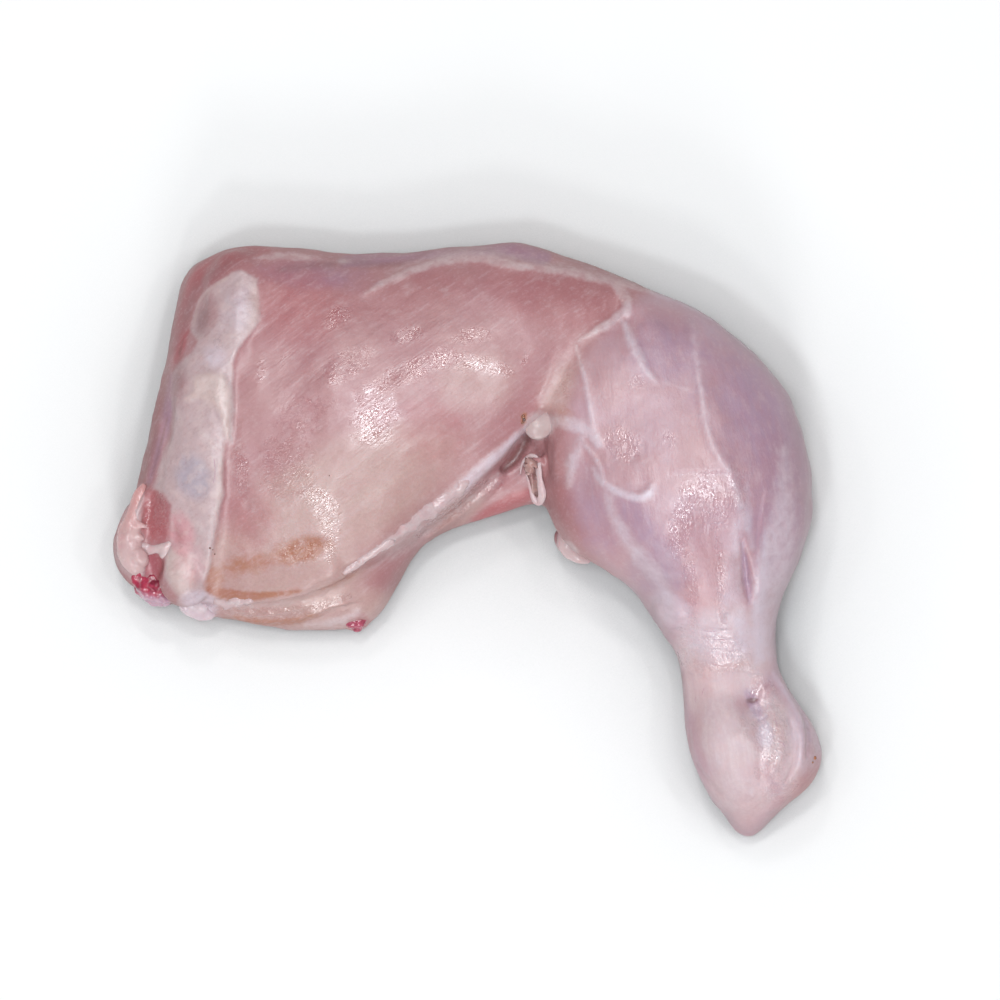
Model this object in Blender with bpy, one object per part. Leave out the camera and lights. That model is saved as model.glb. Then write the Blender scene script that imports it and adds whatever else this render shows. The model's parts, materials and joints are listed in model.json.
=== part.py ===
"""A raw chicken leg without its skin, thigh and drumstick in one piece, lying on its side.

Seen from above, +X runs from the hip end towards the shin, +Y from the hock towards the front of
the thigh, and +Z is up from the surface that the leg lies on. The origin is the middle of the leg's
box, on that surface. Sizes and places are in millimetres until a mesh is finished.
"""

from typing import NamedTuple

import bmesh
import bpy
import numpy as np
from mathutils import Vector

MM = 0.001

# Driving dimensions
LENGTH = 173.0
WIDTH = 146.0
CALF_HEIGHT = 39.0
THIGH_HEIGHT = 31.0
HOCK_HEIGHT = 24.0
NECK_HEIGHT = 19.0

# How finely the flesh is sampled, along the leg, over its top and under its belly
RINGS = 88
TOP_STEPS = 36
BELLY_STEPS = 22

# Samples on the smooth curve through the sections, and between two points of a line
SECTION_SAMPLES = 2000
LINE_SAMPLES = 16

# How squarely the top and the belly swell between the contours
TOP_FULLNESS = 2.15
BELLY_FULLNESS = 3.4

# The flesh sinks this far and is pressed flat by the surface it lies on
SETTLE = 0.9

# Relief is full where the surface faces straight up or down, and gone where it stands upright
FACING = 0.5

# How far along a line its ridge fades in and out, and how wide a seam's step is
LINE_FADE = 0.12
SEAM_STEP = 2.5

# Blobs of fat have this many sides and bands
LUMP_SIDES = 14
LUMP_BANDS = 9


class Section(NamedTuple):
    """One cut across the leg, from its contour inside the bend to its contour outside it."""

    inner_x: float
    inner_y: float
    outer_x: float
    outer_y: float
    inner_edge: float
    outer_edge: float
    crown: float
    keel: float


class Ridge(NamedTuple):
    """A rounded ridge along a line, or a groove where its height is negative."""

    line: tuple
    half_width: float
    height: float


class Mound(NamedTuple):
    """A rounded swelling, or a hollow where its height is negative."""

    centre: tuple
    radii: tuple
    height: float


class Lump(NamedTuple):
    """A rounded lump on the flesh, its turn in radians."""

    name: str
    centre: tuple
    radii: tuple
    turn: float


class Roll(NamedTuple):
    """A soft roll of fat through points, with its own radius at each."""

    name: str
    points: tuple
    radii: tuple
    roundness: int


SECTIONS = (
    # The blunt end that was cut from the back
    Section(-85.5, -5.0, -71.5, 54.0, 8.0, 8.0, 11.0, 5.0),
    Section(-83.5, -11.5, -70.5, 61.5, 8.0, 9.0, 17.0, 2.0),
    Section(-76.0, -15.0, -66.0, 68.0, 8.0, 11.0, 22.5, 0.0),
    # The thigh
    Section(-62.0, -19.5, -55.0, 72.0, 7.0, 13.0, 26.5, 0.0),
    Section(-48.5, -22.0, -41.5, 71.0, 7.0, 14.0, 29.0, 0.0),
    Section(-35.0, -22.5, -29.0, 69.5, 7.0, 14.0, THIGH_HEIGHT, 0.0),
    Section(-23.5, -20.0, -17.0, 70.0, 7.0, 14.0, THIGH_HEIGHT, 0.0),
    Section(-17.5, -11.0, -6.0, 71.5, 8.0, 14.0, THIGH_HEIGHT, 0.0),
    Section(-10.5, -1.5, 4.0, 72.5, 9.0, 14.0, THIGH_HEIGHT, 0.0),
    Section(-1.0, 3.0, 12.5, 73.0, 9.0, 15.0, THIGH_HEIGHT, 0.0),
    # The knee, where the cuts fan out from the hollow behind it
    Section(9.0, 6.0, 23.5, 69.0, 10.0, 15.0, THIGH_HEIGHT, 0.0),
    Section(15.5, 8.5, 38.5, 63.5, 12.0, 16.0, 32.0, 0.0),
    Section(18.0, 8.0, 54.5, 57.0, 14.0, 17.0, 34.0, 0.0),
    Section(19.5, 6.0, 67.5, 48.0, 16.0, 18.0, 36.0, 0.0),
    # The calf
    Section(21.5, 2.5, 77.5, 36.0, 18.0, 19.0, 38.0, 0.0),
    Section(25.0, -2.0, 82.5, 22.5, 19.0, 20.0, CALF_HEIGHT, 0.0),
    Section(31.5, -6.0, 84.0, 9.5, 19.0, 20.0, 38.0, 0.0),
    Section(39.0, -11.5, 81.5, -4.0, 17.0, 18.0, 35.0, 0.0),
    Section(45.5, -20.0, 77.0, -15.0, 15.0, 15.0, 29.0, 1.5),
    # The neck of the shank and the hock
    Section(51.0, -28.5, 75.0, -25.0, 12.0, 12.0, 23.0, 3.5),
    Section(52.5, -37.0, 77.0, -35.0, 11.0, 11.0, NECK_HEIGHT, 3.5),
    Section(53.5, -48.0, 83.5, -44.5, 12.0, 12.0, 22.5, 1.0),
    Section(56.0, -57.0, 86.5, -52.5, 12.0, 12.0, HOCK_HEIGHT, 0.0),
    Section(59.5, -64.0, 84.0, -60.0, 11.0, 11.0, 21.0, 0.5),
    Section(64.0, -69.3, 77.0, -66.0, 8.0, 8.0, 15.0, 2.0),
    Section(66.0, -72.0, 72.5, -70.6, 7.0, 7.0, 10.5, 3.0),
    Section(68.0, -73.0, 70.0, -72.7, 6.5, 6.5, 8.0, 4.5),
)

# Lines on the leg seen from above, each a smooth curve through a few points
FAT_STRIP = ((-57.0, 65.0), (-60.0, 51.0), (-64.0, 39.0), (-65.5, 24.0), (-67.0, 8.0), (-68.5, -9.0))
FRONT_SEAM = ((-24.0, 62.0), (-9.0, 66.5), (1.0, 70.0), (10.0, 67.5), (24.0, 65.0), (39.0, 60.0))
UNDER_SEAM = (
    (-62.0, -13.5),
    (-46.0, -13.5),
    (-31.0, -8.0),
    (-17.0, -0.5),
    (-4.0, 9.0),
    (6.0, 18.5),
    (15.5, 27.0),
)
KNEE_FOLD = ((41.0, 57.0), (31.0, 51.0), (23.0, 43.0), (18.0, 34.0), (15.5, 24.0), (15.0, 12.0))
CALF_SEAM = ((26.0, 19.0), (30.0, 6.0), (39.0, -7.0), (48.0, -19.0))
SHIN_TENDON = ((56.0, 53.0), (57.0, 40.0), (60.0, 26.0), (63.5, 12.0), (67.0, -6.0), (69.0, -22.0))
SHIN_SLIT = ((66.0, -4.0), (67.0, -9.0), (68.5, -15.0))

# Half the fat strip's width at equal steps along it, how far it stands proud, and its soft edge
STRIP_HALF_WIDTHS = (4.5, 6.0, 5.2, 5.6, 6.5, 7.0)
STRIP_HEIGHT = 1.5
STRIP_EDGE = 1.5

# The share of their height that the layers past the thigh's seams lose, at equal steps along them
UNDER_LAYER_LOSS = (0.22, 0.22, 0.28, 0.4, 0.52, 0.5, 0.45)
FRONT_LAYER_LOSS = 0.22

# The lower layer ends behind the knee, and fades out over this far
UNDER_LAYER_END_X = 22.0
UNDER_LAYER_FADE = 6.0

TOP_RIDGES = (
    Ridge(KNEE_FOLD, 6.0, -2.6),
    Ridge(CALF_SEAM, 4.0, -1.3),
    Ridge(SHIN_TENDON, 3.0, 0.9),
    Ridge(SHIN_SLIT, 1.6, -2.0),
)
TOP_MOUNDS = (
    # The windows in the hip's fat, and the crest of the thigh
    Mound((-72.5, 1.0), (3.6, 5.5), -2.2),
    Mound((-74.5, 27.0), (3.5, 9.0), -1.5),
    Mound((-67.0, 52.0), (4.5, 7.0), -1.2),
    Mound((-20.0, 36.0), (24.0, 15.0), 1.4),
    # The hock's two knuckles, the pit above them and the hollow between
    Mound((61.0, -51.0), (6.0, 12.0), 1.3),
    Mound((69.5, -41.0), (3.2, 3.6), -2.2),
    Mound((81.5, -50.0), (2.4, 7.0), 1.2),
    Mound((77.0, -52.0), (2.6, 6.0), -1.0),
)

# Furrows between the muscles of the side that the leg lies on, each hollowed upwards
BELLY_FURROWS = (
    Ridge(((-78.0, 22.0), (-45.0, 20.0), (-15.0, 27.0), (12.0, 40.0), (36.0, 60.0)), 4.5, 2.6),
    Ridge(((12.0, 8.0), (30.0, 24.0), (46.0, 38.0), (62.0, 52.0)), 6.0, 3.2),
    Ridge(((34.0, 18.0), (50.0, 4.0), (60.0, -14.0), (64.0, -32.0)), 4.0, 2.4),
)

# The knob of fat behind the knee and the foot of the fat strip sit this deep in the surface
KNOB = Lump("knee_knob", (17.0, 27.5, 0.0), (3.2, 3.4, 2.6), 0.0)
STRIP_FOOT = Lump("strip_foot", (-69.0, -9.5, -1.0), (6.5, 7.0, 3.0), 0.3)
EDGE_LUMPS = (
    Lump("flap_root", (-65.0, -16.5, 9.0), (4.5, 3.2, 3.4), -0.4),
    Lump("dark_clot", (-76.0, -13.0, 7.5), (5.0, 3.6, 4.2), -0.5),
    Lump("red_nub", (-27.0, -20.5, 7.0), (3.4, 2.2, 2.6), 0.4),
    Lump("calf_fat", (25.5, -0.5, 8.0), (5.0, 4.2, 3.2), -0.6),
)
HIP_ROLL = Roll(
    "hip_roll",
    (
        (-76.5, 12.5, 17.0),
        (-80.5, 6.5, 15.0),
        (-82.3, -0.5, 13.5),
        (-81.0, -7.5, 12.5),
        (-77.5, -11.5, 11.5),
    ),
    (1.6, 3.0, 4.1, 4.1, 2.6),
    2,
)
HOLLOW_CURL = Roll(
    "hollow_curl",
    (
        (14.5, 15.5, 20.0),
        (15.5, 18.8, 21.0),
        (18.0, 19.0, 20.0),
        (18.6, 14.0, 17.0),
        (19.4, 10.5, 14.0),
    ),
    (0.9, 1.0, 1.1, 1.2, 1.5),
    1,
)
ROLL_SAMPLES = 4


def smooth_curve(rows, places):
    """Catmull-Rom values of the table's rows at places counted in rows."""
    rows = np.asarray(rows, float)
    last = len(rows) - 1
    start = np.clip(np.floor(places).astype(int), 0, last - 1)
    part = (places - start)[:, None]
    before, here = rows[np.maximum(start - 1, 0)], rows[start]
    there, after = rows[start + 1], rows[np.minimum(start + 2, last)]
    return 0.5 * (
        2 * here
        + (there - before) * part
        + (2 * before - 5 * here + 4 * there - after) * part**2
        + (3 * here - before - 3 * there + after) * part**3
    )


def ease(value):
    """0 below 0, 1 above 1 and smooth in between."""
    value = np.clip(value, 0.0, 1.0)
    return value * value * (3 - 2 * value)


def at_equal_steps(values, along):
    """The values, which stand at equal steps from 0 to 1, read at the places along."""
    return np.interp(along, np.linspace(0.0, 1.0, len(values)), values)


def beside(line, plan):
    """For each plan position, its distance from the line, the same with a sign that is positive to
    the line's right, and how far along the line it lies from 0 to 1."""
    steps = LINE_SAMPLES * len(line)
    fine = smooth_curve(line, np.linspace(0, len(line) - 1, steps))
    apart = plan[:, None, :] - fine[None, :, :]
    nearest = np.argmin((apart**2).sum(axis=2), axis=1)
    apart = apart[np.arange(len(plan)), nearest]
    heading = np.gradient(fine, axis=0)[nearest]
    distance = np.linalg.norm(apart, axis=1)
    right = heading[:, 1] * apart[:, 0] - heading[:, 0] * apart[:, 1]
    return distance, np.sign(right) * distance, nearest / (steps - 1)


def fade_at_ends(along):
    """1 along a line and 0 at its two ends."""
    return ease(along / LINE_FADE) * ease((1 - along) / LINE_FADE)


def ridge_relief(ridge, plan):
    """How far the ridge stands proud at the plan positions."""
    distance, _, along = beside(ridge.line, plan)
    return ridge.height * np.exp(-((distance / ridge.half_width) ** 2)) * fade_at_ends(along)


def mound_relief(mound, plan):
    """How far the mound stands proud at the plan positions."""
    apart = (plan - np.array(mound.centre)) / np.array(mound.radii)
    return mound.height * np.exp(-(apart**2).sum(axis=1))


def strip_relief(plan):
    """How far the strip of fat across the hip stands proud at the plan positions."""
    distance, _, along = beside(FAT_STRIP, plan)
    past_edge = distance - at_equal_steps(STRIP_HALF_WIDTHS, along)
    return STRIP_HEIGHT * (1 - ease(past_edge / STRIP_EDGE))


def top_relief(plan):
    """How far the top stands proud of its plain form."""
    ridges = sum(ridge_relief(ridge, plan) for ridge in TOP_RIDGES)
    mounds = sum(mound_relief(mound, plan) for mound in TOP_MOUNDS)
    return strip_relief(plan) + ridges + mounds


def belly_relief(plan):
    """How far the underside is hollowed."""
    return sum(ridge_relief(furrow, plan) for furrow in BELLY_FURROWS)


def rise_kept(plan):
    """The share of its height above the contour that each part of the top keeps: the layers past
    the thigh's seams lie lower, lowest in the hollow behind the knee."""
    _, side, along = beside(UNDER_SEAM, plan)
    in_length = ease(along / LINE_FADE) * ease((UNDER_LAYER_END_X - plan[:, 0]) / UNDER_LAYER_FADE)
    under_loss = at_equal_steps(UNDER_LAYER_LOSS, along) * ease(side / SEAM_STEP) * in_length
    _, side, along = beside(FRONT_SEAM, plan)
    front_loss = FRONT_LAYER_LOSS * ease(-side / SEAM_STEP) * fade_at_ends(along)
    return 1 - under_loss - front_loss


def evenly_placed_rings():
    """The section table read at equal steps along the leg."""
    table = np.array(SECTIONS)
    places = np.linspace(0, len(table) - 1, SECTION_SAMPLES)
    fine = smooth_curve(table, places)
    steps = np.linalg.norm(np.diff(fine[:, 0:2], axis=0), axis=1)
    steps += np.linalg.norm(np.diff(fine[:, 2:4], axis=0), axis=1)
    walked = np.concatenate([[0.0], np.cumsum(steps)])
    return smooth_curve(table, np.interp(np.linspace(0, walked[-1], RINGS), walked, places))


def ring_points():
    """The flesh's points, ring by ring: over the top from the inner contour to the outer one, and
    back under the belly. Also their plan positions and how many make a ring."""
    over = -np.cos(np.linspace(0, np.pi, TOP_STEPS + 1))
    under = np.cos(np.linspace(0, np.pi, BELLY_STEPS + 1))[1:-1]
    across = np.concatenate([over, under])
    is_top = np.arange(len(across)) <= TOP_STEPS
    fullness = np.where(is_top, TOP_FULLNESS, BELLY_FULLNESS)
    bulge = np.sqrt(1 - np.abs(across) ** fullness)

    rings = evenly_placed_rings()
    inner, outer = rings[:, None, 0:2], rings[:, None, 2:4]
    share = ((across + 1) / 2)[None, :]
    plan = inner + (outer - inner) * share[:, :, None]
    edge = rings[:, 4:5] + (rings[:, 5:6] - rings[:, 4:5]) * share
    reach = np.where(is_top, rings[:, 6:7], rings[:, 7:8])
    flat_plan = plan.reshape(-1, 2)
    kept = np.where(is_top, rise_kept(flat_plan).reshape(edge.shape), 1.0)
    height = edge + (reach - edge) * bulge * kept
    return np.dstack([plan, height]).reshape(-1, 3), flat_plan, len(across)


def make_flesh():
    """The leg's body, a loft through rings between the inner and the outer contour."""
    points, plan, per_ring = ring_points()
    mesh = bmesh.new()
    corners = [mesh.verts.new(point) for point in points]
    for ring in range(RINGS - 1):
        near, far = ring * per_ring, (ring + 1) * per_ring
        for step in range(per_ring):
            following = (step + 1) % per_ring
            quad = (near + step, far + step, far + following, near + following)
            mesh.faces.new([corners[index] for index in quad])
    mesh.faces.new(corners[:per_ring])
    mesh.faces.new(corners[-per_ring:])
    bmesh.ops.recalc_face_normals(mesh, faces=mesh.faces[:])
    mesh.normal_update()

    for corner, lift, hollow in zip(corners, top_relief(plan), belly_relief(plan)):
        facing_up = ease(corner.normal.z / FACING)
        facing_down = ease(-corner.normal.z / FACING)
        corner.co += corner.normal * (lift * facing_up)
        corner.co.z += hollow * facing_down
        corner.co.z = max(corner.co.z - SETTLE, 0.0)
    bmesh.ops.triangulate(mesh, faces=mesh.faces[:])
    return finished_object("chicken_leg", mesh)


def finished_object(name, mesh):
    """An object in metres from a mesh in millimetres, joined to the scene."""
    bmesh.ops.scale(mesh, vec=(MM, MM, MM), verts=mesh.verts)
    data = bpy.data.meshes.new(name)
    mesh.to_mesh(data)
    mesh.free()
    made = bpy.data.objects.new(name, data)
    bpy.context.scene.collection.objects.link(made)
    return made


def make_lump(lump):
    """A rounded lump of fat or flesh."""
    mesh = bmesh.new()
    bmesh.ops.create_uvsphere(mesh, u_segments=LUMP_SIDES, v_segments=LUMP_BANDS, radius=1.0)
    bmesh.ops.scale(mesh, vec=lump.radii, verts=mesh.verts)
    made = finished_object(lump.name, mesh)
    made.location = Vector(lump.centre) * MM
    made.rotation_euler.z = lump.turn
    return made


def on_top_of(body, lump):
    """The lump with its height counted from the body's upper surface under it."""
    x, y, rise = lump.centre
    sky = Vector((x * MM, y * MM, 1.0))
    _, place, _, _ = body.ray_cast(sky, Vector((0, 0, -1)))
    return lump._replace(centre=(x, y, place.z / MM + rise))


def make_roll(roll):
    """A soft roll of fat, as a closed mesh."""
    path = bpy.data.curves.new(roll.name, "CURVE")
    path.dimensions = "3D"
    path.bevel_depth = MM
    path.bevel_resolution = roll.roundness
    path.use_fill_caps = True
    knots = np.linspace(0, len(roll.points) - 1, ROLL_SAMPLES * len(roll.points))
    route = smooth_curve(np.column_stack([roll.points, roll.radii]), knots)
    spline = path.splines.new("POLY")
    spline.points.add(len(route) - 1)
    for knot, (x, y, z, radius) in zip(spline.points, route):
        knot.co = (x * MM, y * MM, z * MM, 1.0)
        knot.radius = radius
    made = bpy.data.objects.new(roll.name, path)
    bpy.context.scene.collection.objects.link(made)
    return as_closed_mesh(made)


def as_closed_mesh(roll):
    """The curve as a mesh with its end caps welded on."""
    name = roll.name
    view = bpy.context.evaluated_depsgraph_get()
    data = bpy.data.meshes.new_from_object(roll.evaluated_get(view))
    mesh = bmesh.new()
    mesh.from_mesh(data)
    bmesh.ops.remove_doubles(mesh, verts=mesh.verts, dist=0.01 * MM)
    bmesh.ops.recalc_face_normals(mesh, faces=mesh.faces[:])
    mesh.to_mesh(data)
    mesh.free()
    bpy.data.objects.remove(roll)
    made = bpy.data.objects.new(name, data)
    bpy.context.scene.collection.objects.link(made)
    return made


def make_trimmings(body):
    """The lumps and rolls of fat and flesh that grow on the body."""
    lumps = [on_top_of(body, KNOB), on_top_of(body, STRIP_FOOT), *EDGE_LUMPS]
    return [make_lump(lump) for lump in lumps] + [make_roll(roll) for roll in (HIP_ROLL, HOLLOW_CURL)]


def fuse(body, trimmings):
    """Joins the trimmings to the body in one union and removes them."""
    group = bpy.data.collections.new("trimmings")
    bpy.context.scene.collection.children.link(group)
    for piece in trimmings:
        bpy.context.scene.collection.objects.unlink(piece)
        group.objects.link(piece)
    union = body.modifiers.new("union", "BOOLEAN")
    union.operation = "UNION"
    union.operand_type = "COLLECTION"
    union.collection = group
    union.solver = "EXACT"
    view = bpy.context.evaluated_depsgraph_get()
    joined = bpy.data.meshes.new_from_object(body.evaluated_get(view))
    body.modifiers.clear()
    body.data = joined
    for piece in trimmings:
        bpy.data.objects.remove(piece)
    bpy.data.collections.remove(group)


def settle_in_frame(body):
    """Fits the body to the leg's length and width, centred over the origin."""
    points = np.array([corner.co for corner in body.data.vertices])
    low, high = points.min(axis=0), points.max(axis=0)
    middle = (low + high) / 2
    scale = np.array([LENGTH, WIDTH]) * MM / (high - low)[:2]
    for corner in body.data.vertices:
        corner.co.x = (corner.co.x - middle[0]) * scale[0]
        corner.co.y = (corner.co.y - middle[1]) * scale[1]


def raw_flesh():
    """The pale pink of wet, skinless poultry."""
    material = bpy.data.materials.new("raw_flesh")
    material.use_nodes = True
    shader = material.node_tree.nodes["Principled BSDF"]
    shader.inputs["Base Color"].default_value = (0.60, 0.33, 0.31, 1.0)
    shader.inputs["Roughness"].default_value = 0.35
    shader.inputs["Metallic"].default_value = 0.0
    return material


def main():
    """Clears the scene and makes the leg in its own collection."""
    for old in list(bpy.data.objects):
        bpy.data.objects.remove(old)
    body = make_flesh()
    bpy.context.view_layer.update()
    fuse(body, make_trimmings(body))
    settle_in_frame(body)
    body.data.shade_smooth()
    body.data.materials.clear()
    body.data.materials.append(raw_flesh())
    leg = bpy.data.collections.new("raw_chicken_leg")
    bpy.context.scene.collection.children.link(leg)
    bpy.context.scene.collection.objects.unlink(body)
    leg.objects.link(body)


main()
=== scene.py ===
"""The looks of a raw chicken leg without its skin, lying on its side on a plain pale floor.

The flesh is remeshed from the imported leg, so it keeps its form and place. Fat, fascia, threads and
clots are pieces that lie on it. Places on the leg are in millimetres, seen from above: +X runs
from the hip end towards the shin, +Y from the hock towards the front of the thigh.
"""

import json
import logging
from dataclasses import dataclass
from enum import Enum

import bmesh
import bpy
import numpy as np
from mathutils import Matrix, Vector
from mathutils.bvhtree import BVHTree
from mathutils.kdtree import KDTree

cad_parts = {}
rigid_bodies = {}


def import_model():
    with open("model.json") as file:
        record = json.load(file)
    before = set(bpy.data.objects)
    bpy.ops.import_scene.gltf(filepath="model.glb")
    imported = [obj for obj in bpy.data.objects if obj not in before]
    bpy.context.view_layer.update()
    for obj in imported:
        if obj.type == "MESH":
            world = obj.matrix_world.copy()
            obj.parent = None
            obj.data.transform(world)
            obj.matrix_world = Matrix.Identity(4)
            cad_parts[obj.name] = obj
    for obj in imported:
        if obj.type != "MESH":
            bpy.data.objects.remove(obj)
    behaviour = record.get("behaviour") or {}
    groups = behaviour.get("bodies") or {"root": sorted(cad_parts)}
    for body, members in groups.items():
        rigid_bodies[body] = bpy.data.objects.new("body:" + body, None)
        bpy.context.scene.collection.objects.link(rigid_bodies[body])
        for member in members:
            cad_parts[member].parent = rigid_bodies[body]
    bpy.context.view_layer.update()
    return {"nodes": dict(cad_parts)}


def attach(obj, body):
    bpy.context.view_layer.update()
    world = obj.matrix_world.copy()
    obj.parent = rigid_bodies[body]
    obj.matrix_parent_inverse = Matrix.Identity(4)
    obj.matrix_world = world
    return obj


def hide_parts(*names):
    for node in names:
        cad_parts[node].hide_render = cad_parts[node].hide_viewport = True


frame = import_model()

MM = 0.001
BODY = "root"
NODE = "chicken_leg"
LOG = logging.getLogger("chicken_leg")
# The depth stored on a piece that shows no thin edge
DEEP_INSIDE = 9.0


class Slot(Enum):
    """The record's material slots."""

    FLESH = "raw_flesh"
    FAT = "white_fat"
    CLOT = "dark_clot"


class Zone(Enum):
    """The kinds of tissue that show on the flesh, and the painted shade in its creases and on its edges,
    each a weight on its points.
    """

    FASCIA = "fascia"
    PURPLE = "purple"
    RED = "red"
    TAN = "tan"
    ORANGE = "orange"
    DARK = "dark"
    CREAM = "cream"
    CALF = "calf"
    WET = "wet"
    FAT = "fat"
    BLUE = "blue"
    PINK = "pink"
    MAUVE = "mauve"
    MILK = "milk"
    BLUSH = "blush"
    GRIT = "grit"


# Numbers and curves

# Large odd numbers that turn a lattice cell's place and a seed into a repeatable value
CELL_FACTORS = (374761393, 668265263, 1440662683)
STIR_FACTOR = 1274126177
WORD = 0xFFFFFFFF
HALF_WORD = 0xFFFF
# How far apart the layers of a noise are taken, so that they don't line up
OCTAVE_SHIFT = 91.7


def ease(value: np.ndarray) -> np.ndarray:
    """0 below 0, 1 above 1 and smooth in between."""
    value = np.clip(value, 0.0, 1.0)
    return value * value * (3 - 2 * value)


def smooth_curve(rows, count: int) -> np.ndarray:
    """Draws a smooth curve through the rows of a table.

    Args:
        rows: The table, one row for each knot.
        count: How many rows to draw.

    Returns:
        The drawn rows, evenly spread over the knots.
    """
    rows = np.asarray(rows, float)
    last = len(rows) - 1
    places = np.linspace(0, last, count)
    start = np.clip(np.floor(places).astype(int), 0, last - 1)
    part = (places - start)[:, None]
    before, here = rows[np.maximum(start - 1, 0)], rows[start]
    there, after = rows[start + 1], rows[np.minimum(start + 2, last)]
    return 0.5 * (
        2 * here
        + (there - before) * part
        + (2 * before - 5 * here + 4 * there - after) * part**2
        + (3 * here - before - 3 * there + after) * part**3
    )


def cell_value(cells: np.ndarray, seed: int) -> np.ndarray:
    """A repeatable value from -1 to 1 for each cell of a lattice."""
    mixed = ((cells * CELL_FACTORS).sum(axis=-1) + seed * STIR_FACTOR) & WORD
    mixed = ((mixed ^ (mixed >> 13)) * STIR_FACTOR) & WORD
    mixed = mixed ^ (mixed >> 16)
    return (mixed & HALF_WORD) / (HALF_WORD / 2) - 1.0


def noise(points: np.ndarray, size: float, seed: int, octaves: int = 2) -> np.ndarray:
    """Smooth noise over space.

    Args:
        points: Places, one row each.
        size: Width of the largest lumps, in the points' unit.
        seed: Chooses the pattern.
        octaves: How many finer layers it has, each half as wide and half as strong.

    Returns:
        A value of about -1 to 1 for each point.
    """
    total = np.zeros(len(points))
    for octave in range(octaves):
        at = points * 2**octave / size + OCTAVE_SHIFT * (octave + 1)
        cell = np.floor(at).astype(np.int64)
        part = ease(at - cell)
        value = np.zeros(len(points))
        for corner in np.ndindex(2, 2, 2):
            near = np.where(np.array(corner), part, 1 - part).prod(axis=1)
            value += near * cell_value(cell + np.array(corner), seed + octave)
        total += value / 2**octave
    return total


def beside(plan: np.ndarray, start: np.ndarray, end: np.ndarray) -> tuple[np.ndarray, np.ndarray]:
    """How plan positions lie beside a straight line.

    Args:
        plan: The positions, seen from above.
        start: Where the line starts.
        end: Where it ends.

    Returns:
        How far along the line the nearest point is, from 0 to 1, and the distance to it.
    """
    run = end - start
    share = np.clip(((plan - start) @ run) / max(run @ run, 1e-12), 0.0, 1.0)
    apart = plan - start - share[:, None] * run
    return share, np.hypot(apart[:, 0], apart[:, 1])


def turned(plan: np.ndarray, degrees: float) -> tuple[np.ndarray, np.ndarray]:
    """The positions measured along and across a direction."""
    angle = np.radians(degrees)
    along = plan[:, 0] * np.cos(angle) + plan[:, 1] * np.sin(angle)
    across = plan[:, 1] * np.cos(angle) - plan[:, 0] * np.sin(angle)
    return along, across


# Places on the leg


class Form:
    """An area of the leg, seen from above.

    Each has a depth, its distance inside the edge, negative outside it. soft is how wide the edge
    fades, weight is how strongly the area shows, and rise is how far it stands proud, or sinks
    where it is negative.
    """

    def cover(self, plan: np.ndarray) -> np.ndarray:
        """1 inside the area and 0 outside it, with the soft edge in between."""
        return ease(self.depth(plan) / self.soft + 0.5)


@dataclass(frozen=True)
class Stroke(Form):
    """A band along a line; knots are x, y and half width at each point."""

    knots: tuple
    soft: float = 1.0
    weight: float = 1.0
    rise: float = 0.0

    STEPS_A_KNOT = 6

    def depth(self, plan: np.ndarray) -> np.ndarray:
        """Distance inside the band's edge at the plan positions, negative outside it."""
        line = smooth_curve(self.knots, self.STEPS_A_KNOT * len(self.knots))
        best = np.full(len(plan), -np.inf)
        for start, end in zip(line[:-1], line[1:]):
            share, apart = beside(plan, start[:2], end[:2])
            width = start[2] + (end[2] - start[2]) * share
            best = np.maximum(best, width - apart)
        return best

    def spots(self) -> np.ndarray:
        """Plan positions that the band's box holds."""
        knots = np.array(self.knots)
        return np.vstack([knots[:, :2] - knots[:, 2:], knots[:, :2] + knots[:, 2:]])


@dataclass(frozen=True)
class Patch(Form):
    """An oval area; turn is in degrees."""

    centre: tuple
    radii: tuple
    turn: float = 0.0
    soft: float = 3.0
    weight: float = 1.0
    rise: float = 0.0

    def depth(self, plan: np.ndarray) -> np.ndarray:
        """Distance inside the oval's edge at the plan positions, negative outside it."""
        along, across = turned(plan - np.array(self.centre), self.turn)
        reach = np.hypot(along / self.radii[0], across / self.radii[1])
        return (1 - reach) * min(self.radii)


@dataclass(frozen=True)
class Outline(Form):
    """An area inside a closed line of points."""

    points: tuple
    soft: float = 1.0
    weight: float = 1.0
    rise: float = 0.0

    def depth(self, plan: np.ndarray) -> np.ndarray:
        """Distance inside the outline at the plan positions, negative outside it."""
        ring = np.array(self.points + self.points[:1])
        nearest = np.full(len(plan), np.inf)
        inside = np.zeros(len(plan), bool)
        for start, end in zip(ring[:-1], ring[1:]):
            nearest = np.minimum(nearest, beside(plan, start, end)[1])
            if start[1] == end[1]:
                continue
            run = end - start
            spans = (start[1] > plan[:, 1]) != (end[1] > plan[:, 1])
            inside ^= spans & (plan[:, 0] < start[0] + (plan[:, 1] - start[1]) * run[0] / run[1])
        return np.where(inside, nearest, -nearest)

    def spots(self) -> np.ndarray:
        """The plan positions of its points."""
        return np.array(self.points)


def strongest(forms: tuple, plan: np.ndarray) -> np.ndarray:
    """The largest weight that any of the forms has at each of the plan positions."""
    weights = np.zeros(len(plan))
    for form in forms:
        weights = np.maximum(weights, form.weight * form.cover(plan))
    return weights


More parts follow.
